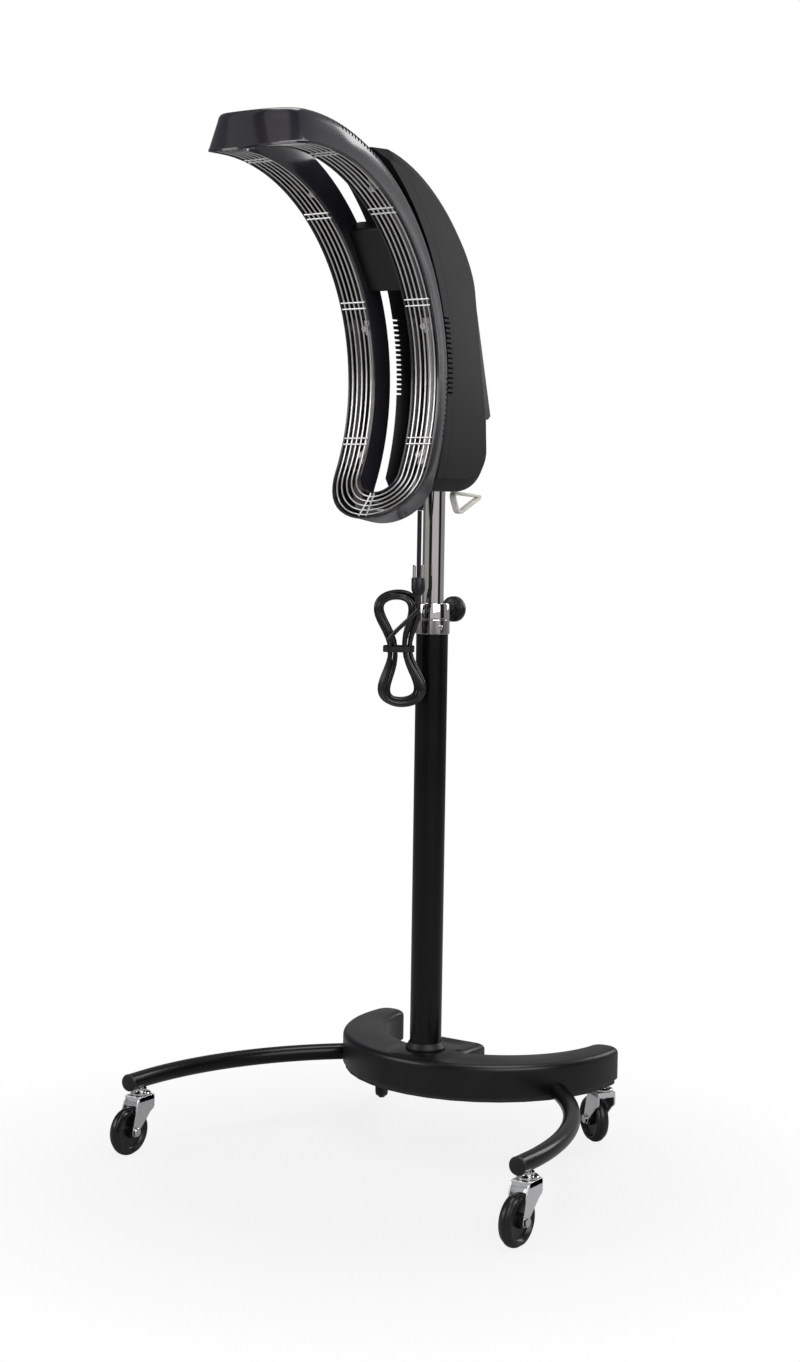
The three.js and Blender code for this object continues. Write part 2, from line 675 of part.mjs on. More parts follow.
function buildClamp() {
  const studEnd = KNOB_START_Y + KNOB_LENGTH * 0.6;
  const stud = alongY(rod(STUD_RADIUS, MAST_RADIUS + SEAT_GAP, studEnd, 16)).translate(0, 0, CLAMP_Z);
  piece("clamp_stud", stud, "zinc");
  const pocket = STUD_RADIUS + SEAT_GAP;
  const end = KNOB_LENGTH;
  const knob = alongY(revolve([
    [pocket, 0], [KNOB_RADIUS * 0.5, 0], [KNOB_RADIUS * 0.55, end * 0.3], [KNOB_RADIUS - 1.5, end * 0.38],
    [KNOB_RADIUS, end * 0.48], [KNOB_RADIUS, end * 0.85], [KNOB_RADIUS - 3, end], [0, end],
    [0, end * 0.6 + SEAT_GAP], [pocket, end * 0.6 + SEAT_GAP],
  ], 18));
  piece("clamp_knob", knob.translate(0, KNOB_START_Y, CLAMP_Z), "blackPlastic");
}

function buildMast() {
  piece("mast_tube", ring(MAST_RADIUS - MAST_WALL, MAST_RADIUS, MAST_BOTTOM, MAST_TOP), "chrome");
  const guide = COLUMN_RADIUS - COLUMN_WALL - SEAT_GAP;
  const spigot = MAST_RADIUS - MAST_WALL - SEAT_GAP;
  piece("mast_guide", revolve([
    [0, MAST_BOTTOM - GUIDE_LENGTH], [guide, MAST_BOTTOM - GUIDE_LENGTH], [guide, MAST_BOTTOM - SEAT_GAP],
    [spigot, MAST_BOTTOM - SEAT_GAP], [spigot, MAST_BOTTOM + GUIDE_SPIGOT], [0, MAST_BOTTOM + GUIDE_SPIGOT],
  ], 24), "blackPlastic");
}

// The loop's own coordinates: x across, run along the arc at the front rim,
// depth outwards from the arc's axis
const ARM_MIDDLE = LOOP_HALF_WIDTH - ARM_WIDTH / 2;
const HALF_ARM = ARM_WIDTH / 2;
const HUB_ANGLE = (ARC_BOTTOM + ARC_TOP) / 2;

function onArc(x, run, depth) {
  const angle = run / ARC_RADIUS;
  const radius = ARC_RADIUS + depth;
  return new THREE.Vector3(x, ARC_Y + radius * Math.cos(angle), ARC_Z + radius * Math.sin(angle));
}

// Stations round the racetrack: a place on the arms' middle line and the way outwards from it.
function stations() {
  const low = ARC_RADIUS * radians(ARC_BOTTOM);
  const high = ARC_RADIUS * radians(ARC_TOP);
  const list = [];
  for (let i = 0; i < ARM_STATIONS; i += 1) {
    list.push({ x: ARM_MIDDLE, run: low + ((high - low) * i) / ARM_STATIONS, outX: 1, outRun: 0 });
  }
  for (let i = 0; i < TURN_STATIONS; i += 1) {
    const angle = (Math.PI * i) / TURN_STATIONS;
    const outX = Math.cos(angle);
    const outRun = Math.sin(angle);
    list.push({ x: ARM_MIDDLE * outX, run: high + ARM_MIDDLE * outRun, outX, outRun });
  }
  for (let i = 0; i < ARM_STATIONS; i += 1) {
    list.push({ x: -ARM_MIDDLE, run: high - ((high - low) * i) / ARM_STATIONS, outX: -1, outRun: 0 });
  }
  for (let i = 0; i < TURN_STATIONS; i += 1) {
    const angle = Math.PI + (Math.PI * i) / TURN_STATIONS;
    const outX = Math.cos(angle);
    const outRun = Math.sin(angle);
    list.push({ x: ARM_MIDDLE * outX, run: low + ARM_MIDDLE * outRun, outX, outRun });
  }
  return list;
}

// A place on the loop; the turns' outer walls lean in further than the arms' do.
function onLoop(station, out, depth) {
  const share = (out + HALF_ARM) / ARM_WIDTH;
  const lean = END_DRAFT * station.outRun ** 2 * share * (depth / LOOP_DEPTH);
  const reach = out - lean;
  return onArc(station.x + reach * station.outX, station.run + reach * station.outRun, depth);
}

// Sweeps a closed section of [outwards, depth] points round the racetrack.
function sweepLoop(section) {
  const rings = stations().map((station) => section.map(([out, depth]) => onLoop(station, out, depth)));
  return loft(rings, true);
}

// Faces of the trough's walls at a depth, counted outwards from the arm's middle
function outerFace(depth) {
  return HALF_ARM - (OUTER_DRAFT * depth) / LOOP_DEPTH;
}

function innerFace(depth) {
  return -HALF_ARM + (INNER_DRAFT * depth) / LOOP_DEPTH;
}

function ventCut(arm, angle) {
  const cut = box(
    [arm * ARM_MIDDLE - HALF_ARM * 0.5, -VENT_WIDTH / 2, LOOP_DEPTH - LOOP_WALL - 2],
    [arm * ARM_MIDDLE + HALF_ARM * 0.5, VENT_WIDTH / 2, LOOP_DEPTH + 5],
  );
  cut.translate(arm * HALF_ARM * 0.25, 0, ARC_RADIUS);
  cut.rotateX(radians(angle - 90));
  cut.translate(0, ARC_Y, ARC_Z);
  return solid(cut);
}

function buildLoopShell() {
  const shoulder = LOOP_DEPTH - LOOP_CHAMFER;
  const floor = LOOP_DEPTH - LOOP_WALL;
  let shell = solid(sweepLoop([
    [outerFace(0), 0],
    [outerFace(shoulder), shoulder],
    [outerFace(LOOP_DEPTH) - LOOP_CHAMFER * 0.6, LOOP_DEPTH],
    [innerFace(LOOP_DEPTH) + LOOP_CHAMFER * 0.6, LOOP_DEPTH],
    [innerFace(shoulder), shoulder],
    [innerFace(0), 0],
    [innerFace(0) + LOOP_WALL, 0],
    [innerFace(shoulder) + LOOP_WALL, shoulder],
    [innerFace(floor) + LOOP_WALL + 1, floor],
    [outerFace(floor) - LOOP_WALL - 1, floor],
    [outerFace(shoulder) - LOOP_WALL, shoulder],
    [outerFace(0) - LOOP_WALL, 0],
  ]));
  for (const start of LOOP_VENT_STARTS) {
    for (let k = 0; k < LOOP_VENTS; k += 1) {
      shell = shell.subtract(ventCut(1, start + k * LOOP_VENT_PITCH));
      shell = shell.subtract(ventCut(-1, start + k * LOOP_VENT_PITCH));
    }
  }
  piece("loop_shell", shell, "loopPlastic");
}

function buildReflector() {
  const gap = LOOP_WALL + REFLECTOR_CLEARANCE;
  const outLip = outerFace(REFLECTOR_LIP) - gap;
  const outFloor = outerFace(REFLECTOR_FLOOR) - gap;
  const inLip = innerFace(REFLECTOR_LIP) + gap;
  const inFloor = innerFace(REFLECTOR_FLOOR) + gap;
  const inside = REFLECTOR_FLOOR - REFLECTOR_SHEET;
  piece("reflector", sweepLoop([
    [outLip, REFLECTOR_LIP], [outFloor, REFLECTOR_FLOOR],
    [inFloor, REFLECTOR_FLOOR], [inLip, REFLECTOR_LIP],
    [inLip + REFLECTOR_SHEET, REFLECTOR_LIP], [inFloor + REFLECTOR_SHEET, inside],
    [outFloor - REFLECTOR_SHEET, inside], [outLip - REFLECTOR_SHEET, REFLECTOR_LIP],
  ]), "reflector");
}

const CROSS_DEPTH = WIRE_DEPTH - 1.1 * WIRE_RADIUS;

function wireSection(out) {
  return circle(WIRE_RADIUS, 4).map((point) => [out + point.x, WIRE_DEPTH + point.y]);
}

// A short straight wire from one wall of the trough to the other.
function crossWire(place) {
  const outReach = outerFace(CROSS_DEPTH) - LOOP_WALL - GUARD_CLEARANCE;
  const inReach = innerFace(CROSS_DEPTH) + LOOP_WALL + GUARD_CLEARANCE;
  const points = [inReach, outReach].map((out) => onLoop(place, out, CROSS_DEPTH));
  return solid(tubeThrough(points, () => WIRE_RADIUS, 4));
}

function buildGuard() {
  let guard = null;
  for (let k = 0; k < WIRE_COUNT; k += 1) {
    const out = (k - (WIRE_COUNT - 1) / 2) * WIRE_PITCH;
    const wire = solid(sweepLoop(wireSection(out)));
    guard = guard ? guard.add(wire) : wire;
  }
  const track = stations();
  const right = CROSS_STATIONS.map((place) => track[place]);
  const left = right.map((station) => ({ ...station, x: -station.x, outX: -station.outX }));
  const turns = [0, 1].map((end) => track[(end + 1) * ARM_STATIONS + (end + 0.5) * TURN_STATIONS]);
  for (const station of [...right, ...left, ...turns]) {
    guard = guard.add(crossWire(station));
  }
  piece("wire_guard", guard, "chrome");
}

// How far the faceted reflector's floor comes in between two stations
const STATION_ANGLE = radians((ARC_TOP - ARC_BOTTOM) / ARM_STATIONS);
const FLOOR_SAG = (ARC_RADIUS + REFLECTOR_FLOOR) * (1 - Math.cos(STATION_ANGLE / 2));
const LAMP_DEPTH = REFLECTOR_FLOOR - REFLECTOR_SHEET - FLOOR_SAG - 2 * SEAT_GAP - LAMP_END_RADIUS;
const LAMP_OUT = (outerFace(REFLECTOR_FLOOR) + innerFace(REFLECTOR_FLOOR)) / 2;

// A quartz tube that follows the arm, with a thicker ceramic base at each end.
function lampShape(side, span) {
  const low = ARC_RADIUS * radians(span[0]);
  const high = ARC_RADIUS * radians(span[1]);
  const middle = Array.from({ length: 5 }, (unused, k) => low + LAMP_END_LENGTH
    + ((high - low - 2 * LAMP_END_LENGTH) * k) / 4);
  const runs = [low, low + LAMP_END_LENGTH - 0.5, ...middle, high - LAMP_END_LENGTH + 0.5, high];
  const last = runs.length - 1;
  const points = runs.map((run) => onArc(side * (ARM_MIDDLE + LAMP_OUT), run, LAMP_DEPTH));
  const radiusAt = (i) => (i < 2 || i > last - 2 ? LAMP_END_RADIUS : LAMP_RADIUS);
  return tubeThrough(points, radiusAt, 8);
}

function buildLamps() {
  for (const [place, span] of Object.entries(LAMP_SPANS)) {
    piece(`lamp_${place}_left`, lampShape(-1, span), "quartz");
    piece(`lamp_${place}_right`, lampShape(1, span), "quartz");
  }
}

// Parts on the orbit axis: local Z runs outwards from the arc's axis
const hubFrame = new THREE.Group();
hubFrame.position.set(0, ARC_Y, ARC_Z);
hubFrame.rotation.x = radians(HUB_ANGLE - 90);
object.add(hubFrame);

function armGap(depth) {
  return ARM_MIDDLE + innerFace(depth) - SEAT_GAP;
}

const SHAFT_START = ARC_RADIUS + HUB_BACK + SEAT_GAP;
const FRONT_WALL = ARC_RADIUS + HOUSING_FRONT;
const FLANGE_SAG = FRONT_WALL - Math.sqrt(FRONT_WALL ** 2 - BEARING_FLANGE_RADIUS ** 2);
const FLANGE_BACK = FRONT_WALL - FLANGE_SAG - SEAT_GAP;
const BEARING_START = SHAFT_START + SHAFT_FLANGE + RUN_GAP;
const BEARING_END = BEARING_START + BEARING_LENGTH;
const MOTOR_START = BEARING_END + SEAT_GAP;

function buildHub() {
  const shape = new THREE.Shape([
    new THREE.Vector2(-armGap(HUB_FRONT), HUB_FRONT), new THREE.Vector2(armGap(HUB_FRONT), HUB_FRONT),
    new THREE.Vector2(armGap(HUB_BACK), HUB_BACK), new THREE.Vector2(-armGap(HUB_BACK), HUB_BACK),
  ]);
  const block = new THREE.ExtrudeGeometry(shape, { depth: 2 * HUB_HALF_LENGTH, bevelEnabled: false });
  block.translate(0, 0, -HUB_HALF_LENGTH);
  block.rotateX(Math.PI / 2);
  block.translate(0, -HUB_RAISE, ARC_RADIUS);
  piece("hub_block", solid(block), "blackPlastic", hubFrame);
  piece("orbit_shaft", revolve([
    [0, SHAFT_START], [SHAFT_FLANGE_RADIUS, SHAFT_START],
    [SHAFT_FLANGE_RADIUS, SHAFT_START + SHAFT_FLANGE], [SHAFT_RADIUS, SHAFT_START + SHAFT_FLANGE],
    [SHAFT_RADIUS, MOTOR_START + MOTOR_SOCKET - SEAT_GAP], [0, MOTOR_START + MOTOR_SOCKET - SEAT_GAP],
  ], 16), "zinc", hubFrame);
  const bore = SHAFT_RADIUS + RUN_GAP;
  piece("orbit_bearing", revolve([
    [bore, BEARING_START], [BEARING_RADIUS, BEARING_START], [BEARING_RADIUS, FLANGE_BACK - BEARING_FLANGE],
    [BEARING_FLANGE_RADIUS, FLANGE_BACK - BEARING_FLANGE], [BEARING_FLANGE_RADIUS, FLANGE_BACK],
    [BEARING_RADIUS, FLANGE_BACK], [BEARING_RADIUS, BEARING_END], [bore, BEARING_END],
  ], 16), "blackPlastic", hubFrame);
  const socket = MOTOR_START + MOTOR_SOCKET;
  const boxEnd = MOTOR_START + GEARBOX_LENGTH;
  piece("orbit_motor", revolve([
    [bore, MOTOR_START], [GEARBOX_RADIUS, MOTOR_START], [GEARBOX_RADIUS, boxEnd], [MOTOR_RADIUS, boxEnd],
    [MOTOR_RADIUS, boxEnd + MOTOR_LENGTH], [0, boxEnd + MOTOR_LENGTH], [0, socket], [bore, socket],
  ], 16), "zinc", hubFrame);
}

// Rear housing: a side outline with chamfered flanks, cut in front along the loop's own curve
function housingOutline() {
  const nose = FRONT_WALL - HOUSING_NOSE;
  const bottomAngle = Math.asin((HOUSING_BOTTOM - ARC_Z) / nose);
  const topAngle = radians(HOUSING_TOP_ANGLE);
  const shape = new THREE.Shape();
  shape.moveTo(ARC_Y + nose * Math.cos(bottomAngle), HOUSING_BOTTOM);
  const tipY = ARC_Y + (FRONT_WALL + 2) * Math.cos(topAngle);
  const tipZ = ARC_Z + (FRONT_WALL + 2) * Math.sin(topAngle);
  const heel = HOUSING_HEEL.flatMap(([y, rise]) => [y, HOUSING_BOTTOM + rise]);
  const crown = HOUSING_CROWN.flatMap(([y, rise]) => [y, BACK_HIGH[1] + rise]);
  shape.lineTo(HOUSING_FLOOR_END, HOUSING_BOTTOM);
  shape.bezierCurveTo(...heel);
  shape.lineTo(...BACK_LOW);
  shape.lineTo(...BACK_HIGH);
  shape.bezierCurveTo(...crown, tipY + HOUSING_TIP[0], tipZ + HOUSING_TIP[1]);
  shape.lineTo(tipY, tipZ);
  shape.absarc(ARC_Y, ARC_Z, nose, topAngle, bottomAngle, true);
  return shape;
}

function housingBlock(inset) {
  const geometry = extrudeAcross(housingOutline(), HOUSING_FLAT_HALF, {
    curveSegments: 6,
    bevelEnabled: true,
    bevelThickness: HOUSING_CHAMFER_X - inset,
    bevelSize: HOUSING_CHAMFER,
    bevelOffset: -HOUSING_CHAMFER - inset,
    bevelSegments: 1,
  });
  return solid(geometry);
}

function arcDrum(radius) {
  const drum = alongX(rod(radius, -200, 200, 90)).translate(0, ARC_Y, ARC_Z);
  return solid(drum);
}

// Places a solid made in (X, along the back, out from the back) on the housing's straight back.
const backRun = new THREE.Vector2(BACK_HIGH[0] - BACK_LOW[0], BACK_HIGH[1] - BACK_LOW[1]);
const backTilt = Math.atan2(-backRun.x, backRun.y);
const HOUSING_HALF = HOUSING_FLAT_HALF + HOUSING_CHAMFER_X;

function onBack(geometry) {
  geometry.rotateX(backTilt);
  geometry.translate(0, BACK_LOW[0], BACK_LOW[1]);
  return geometry;
}

function buildHousing() {
  const outer = housingBlock(0).subtract(arcDrum(FRONT_WALL));
  const inner = housingBlock(HOUSING_WALL).subtract(arcDrum(FRONT_WALL + HOUSING_WALL));
  const hollow = outer.subtract(inner);
  const split = ARC_RADIUS + HOUSING_SPLIT;
  let front = hollow.intersect(arcDrum(split - SEAT_GAP / 2));
  let rear = hollow.subtract(arcDrum(split + SEAT_GAP / 2));
  const bearingHole = rod(BEARING_RADIUS + SEAT_GAP, ARC_RADIUS, FRONT_WALL + 40, 16);
  bearingHole.rotateX(radians(HUB_ANGLE - 90));
  bearingHole.translate(0, ARC_Y, ARC_Z);
  front = front.subtract(solid(bearingHole));
  for (let k = 0; k < HOUSING_VENTS; k += 1) {
    const z = HOUSING_VENT_MIDDLE_Z + (k - (HOUSING_VENTS - 1) / 2) * HOUSING_VENT_PITCH;
    const face = ARC_Y + Math.sqrt(FRONT_WALL ** 2 - (z - ARC_Z) ** 2);
    for (const side of [-1, 1]) {
      const slot = box([-8, -10, -VENT_WIDTH / 2], [8, HOUSING_VENT_DEPTH, VENT_WIDTH / 2]);
      slot.translate(side * (HOUSING_HALF - 4), face, z);
      front = front.subtract(solid(slot));
    }
  }
  rear = rear.subtract(solid(rod(MAST_RADIUS + SEAT_GAP, HOUSING_BOTTOM - 10, HOUSING_BOTTOM + 20, 24)));
  const glandHole = rod(GLAND_STEM_RADIUS + SEAT_GAP, HOUSING_BOTTOM - 10, HOUSING_BOTTOM + 20, 16);
  rear = rear.subtract(solid(glandHole.translate(0, GLAND_Y, 0)));
  rear = rear.subtract(solid(hookPeg(SEAT_GAP, HOUSING_BOTTOM + 2 * HOOK_PEG_RISE)));
  const standX = BOARD_WIDTH / 2 - 5;
  for (const x of [-standX, standX]) {
    for (const run of [BOARD_START + 6, BOARD_START + BOARD_LENGTH - 6]) {
      const post = box([x - 3, -HOUSING_WALL - BOARD_STANDOFF, run - 3], [x + 3, -HOUSING_WALL + 1, run + 3]);
      rear = rear.add(solid(onBack(post)));
    }
  }
  piece("head_front_shell", front, "greyPlastic");
  piece("head_rear_shell", rear, "greyPlastic");
  const boardBack = -HOUSING_WALL - BOARD_STANDOFF - SEAT_GAP;
  piece("control_board", onBack(box(
    [-BOARD_WIDTH / 2, boardBack - BOARD_SHEET, BOARD_START],
    [BOARD_WIDTH / 2, boardBack, BOARD_START + BOARD_LENGTH],
  )), "board");
}

function buildClampBlock() {
  const half = HOUSING_HALF - HOUSING_WALL - SEAT_GAP;
  let block = solid(box([-half, BLOCK_FRONT_Y, BLOCK_BOTTOM], [half, BLOCK_BACK_Y, MAST_TOP + BLOCK_ROOF]));
  block = block.subtract(solid(rod(MAST_RADIUS + SEAT_GAP, BLOCK_BOTTOM - 5, MAST_TOP + SEAT_GAP, 24)));
  piece("mast_clamp_block", block, "zinc");
}

// Panel on the back: thicker at its lower end, with pockets for the display and the buttons
const PANEL_START = 2;
const panelSlope = Math.atan2(PANEL_LOW_THICKNESS - PANEL_HIGH_THICKNESS, PANEL_LENGTH);

function onPanel(geometry, along) {
  const drop = (PANEL_LOW_THICKNESS - PANEL_HIGH_THICKNESS) * (along / PANEL_LENGTH);
  geometry.rotateX(panelSlope);
  geometry.translate(0, SEAT_GAP + PANEL_LOW_THICKNESS - drop, PANEL_START + along);
  return onBack(geometry);
}

function buildPanel() {
  const outline = new THREE.Shape([
    new THREE.Vector2(SEAT_GAP, PANEL_START),
    new THREE.Vector2(SEAT_GAP + PANEL_LOW_THICKNESS * 0.6, PANEL_START - 4),
    new THREE.Vector2(SEAT_GAP + PANEL_LOW_THICKNESS, PANEL_START),
    new THREE.Vector2(SEAT_GAP + PANEL_HIGH_THICKNESS, PANEL_START + PANEL_LENGTH),
    new THREE.Vector2(SEAT_GAP, PANEL_START + PANEL_LENGTH),
  ]);
  let panel = solid(onBack(extrudeAcross(outline, PANEL_HALF_WIDTH)));
  const window = [DISPLAY_WIDTH / 2, DISPLAY_HEIGHT / 2];
  const pocket = box(
    [-window[0] - SEAT_GAP, -DISPLAY_DEPTH - SEAT_GAP, -window[1] - SEAT_GAP],
    [window[0] + SEAT_GAP, 5, window[1] + SEAT_GAP],
  );
  panel = panel.subtract(solid(onPanel(pocket, DISPLAY_AT)));
  const wells = [-1, 0, 1];
  for (const place of wells) {
    const well = alongY(rod(BUTTON_RADIUS + SEAT_GAP, -BUTTON_DEPTH - BUTTON_TRAVEL - SEAT_GAP, 5, 12));
    panel = panel.subtract(solid(onPanel(well.translate(place * BUTTON_PITCH, 0, 0), BUTTON_AT)));
  }
  piece("control_panel", panel, "blackPlastic");
  const glass = box([-window[0], -DISPLAY_DEPTH, -window[1]], [window[0], 0, window[1]]);
  piece("display_window", onPanel(glass, DISPLAY_AT), "glass");
  for (const [index, word] of ["left", "middle", "right"].entries()) {
    const cap = alongY(revolve([
      [0, -BUTTON_DEPTH], [BUTTON_RADIUS, -BUTTON_DEPTH], [BUTTON_RADIUS, BUTTON_PROUD - 0.8],
      [BUTTON_RADIUS - 1, BUTTON_PROUD], [0, BUTTON_PROUD],
    ], 12));
    const placed = onPanel(cap.translate(wells[index] * BUTTON_PITCH, 0, 0), BUTTON_AT);
    piece(`button_${word}`, placed, "blackPlastic");
  }
}

// A closed triangular ring of strap under the housing, behind the mast, on a peg let into the housing
function buildHook() {
  const path = new THREE.CatmullRomCurve3(HOOK_CORNERS.flatMap(([y, z], k) => {
    const before = HOOK_CORNERS[(k + 2) % 3];
    const after = HOOK_CORNERS[(k + 1) % 3];
    const toward = (other) => {
      const share = HOOK_ROUND / Math.hypot(other[0] - y, other[1] - z);
      return new THREE.Vector3(0, y + (other[0] - y) * share, z + (other[1] - z) * share);
    };
    return [toward(before), toward(after)];
  }), true, "centripetal");
  const points = path.getPoints(18).slice(0, 18);
  const rings = points.map((point, i) => {
    const ahead = points[(i + 1) % points.length].clone().sub(points.at(i - 1)).normalize();
    const across = new THREE.Vector3(1, 0, 0);
    const outwards = ahead.cross(across);
    const soft = HOOK_HALF_THICK * 0.5;
    const section = [
      [HOOK_HALF_WIDTH, -soft], [HOOK_HALF_WIDTH, soft],
      [HOOK_HALF_WIDTH - soft, HOOK_HALF_THICK], [soft - HOOK_HALF_WIDTH, HOOK_HALF_THICK],
      [-HOOK_HALF_WIDTH, soft], [-HOOK_HALF_WIDTH, -soft],
      [soft - HOOK_HALF_WIDTH, -HOOK_HALF_THICK], [HOOK_HALF_WIDTH - soft, -HOOK_HALF_THICK],
    ];
    return section.map(([x, out]) => point.clone().addScaledVector(outwards, out).addScaledVector(across, x));
  });
  const peg = solid(hookPeg(0, HOUSING_BOTTOM + HOOK_PEG_RISE));
  piece("cord_hook", solid(loft(rings, true)).add(peg), "ivory");
}

// The strap's peg, or with a gap the hole for it
function hookPeg(gap, top) {
  const half = HOOK_HALF_WIDTH - HOOK_HALF_THICK * 0.5 + gap;
  const thick = HOOK_HALF_THICK + gap;
  const low = HOOK_CORNERS[0][1] - HOOK_HALF_THICK;
  return box([-half, HOOK_PEG_Y - thick, low], [half, HOOK_PEG_Y + thick, top]);
}

// Cord: the hank's frame has x across the view, y towards it and z up
const hankAcross = new THREE.Vector3(Math.cos(radians(HANK_TURN)), Math.sin(radians(HANK_TURN)), 0);
const hankToward = new THREE.Vector3(Math.sin(radians(HANK_TURN)), -Math.cos(radians(HANK_TURN)), 0);

function inHank(across, toward, up) {
  return new THREE.Vector3(HANK_X, HANK_Y, HANK_Z + up)
    .addScaledVector(hankAcross, across)
    .addScaledVector(hankToward, toward);
}

// The outermost loop, drawn in at the waist
function hankOutline(phase) {
  const pinch = (1 - HANK_WAIST / HANK_LOBE) * Math.exp(-((Math.cos(phase) / WAIST_SPREAD) ** 2));
  const across = HANK_LOBE * Math.sin(phase) * (1 - pinch);
  const up = (HANK_REACH * Math.tanh(HANK_ROUNDING * Math.cos(phase))) / Math.tanh(HANK_ROUNDING);
  return new THREE.Vector2(across, up);
}

// How far a turn lies inside the outermost loop, in pitches: in on one layer, out on the next.
function hankInset(turn) {
  const layer = Math.floor(turn / TURNS_PER_LAYER);
  const within = turn - layer * TURNS_PER_LAYER;
  return layer % 2 === 0 ? within : TURNS_PER_LAYER - within;
}

// Each layer leans a little further than the one behind it.
// The layer a turn lies in; each change takes the half turn where the spiral reverses.
// The first and last quarter turns come in from behind the hank and leave in front of it.
function hankLayer(turn) {
  let layer = THREE.MathUtils.smoothstep(turn, 0.05, 0.45) - 1;
  for (let k = 1; k < HANK_LAYERS; k += 1) {
    const change = k * TURNS_PER_LAYER;
    layer += THREE.MathUtils.smoothstep(turn, change - 0.25, change + 0.25);
  }
  return layer + THREE.MathUtils.smoothstep(turn, HANK_TURNS - 0.4, HANK_TURNS);
}

function hankPoint(turn) {
  const phase = 2 * Math.PI * turn + radians(START_PHASE);
  const outline = hankOutline(phase);
  const along = hankOutline(phase + 0.01).sub(hankOutline(phase - 0.01)).normalize();
  const inset = hankInset(turn) * HANK_PITCH;
  const layer = hankLayer(turn);
  const fan = THREE.MathUtils.clamp(layer, 0, HANK_LAYERS - 1);
  const flat = new THREE.Vector2(outline.x + along.y * inset, outline.y - along.x * inset);
  flat.rotateAround(new THREE.Vector2(), radians(HANK_LEAN + HANK_FAN * fan));
  return inHank(flat.x, (layer - (HANK_LAYERS - 1) / 2) * LAYER_PITCH, flat.y);
}

function hankPath() {
  const steps = Math.round(HANK_TURNS * LOOP_STEPS);
  const points = Array.from({ length: steps + 1 }, (unused, k) => hankPoint((HANK_TURNS * k) / steps));
  const straight = (end, next) => end.clone().sub(next).setLength(2 * CORD_RADIUS).add(end);
  return [straight(points[0], points[1]), ...points, straight(points[steps], points[steps - 1])];
}

// Least distance between the tube's skins, away from neighbours along the path
function selfGap(points) {
  const curve = new THREE.CatmullRomCurve3(points);
  const fine = curve.getPoints(points.length * 4);
  const near = 4 * CORD_RADIUS;
  const along = [0];
  for (let i = 1; i < fine.length; i += 1) {
    along.push(along[i - 1] + fine[i].distanceTo(fine[i - 1]));
  }
  let least = Infinity;
  for (let i = 0; i < fine.length; i += 1) {
    for (let j = i + 1; j < fine.length; j += 1) {
      if (along[j] - along[i] > near) {
        least = Math.min(least, fine[i].distanceTo(fine[j]) - 2 * CORD_RADIUS);
      }
    }
  }
  return { least, length: along[along.length - 1] };
}

function cordTube(name, points) {
  const curve = new THREE.CatmullRomCurve3(points, false, "centripetal");
  const geometry = new THREE.ExtrudeGeometry(new THREE.Shape(circle(CORD_RADIUS, 8)), {
    steps: 14,
    bevelEnabled: false,
    extrudePath: curve,
  });
  piece(name, solid(geometry), "cord");
  return curve.getLength();
}

// Moves on from one place towards another by a set length.
function onwards(from, toward, length) {
  return toward.clone().sub(from).setLength(length).add(from);
}

const PLUG_TOWARD = (HANK_LAYERS / 2) * LAYER_PITCH + PLUG_RADIUS + 1;

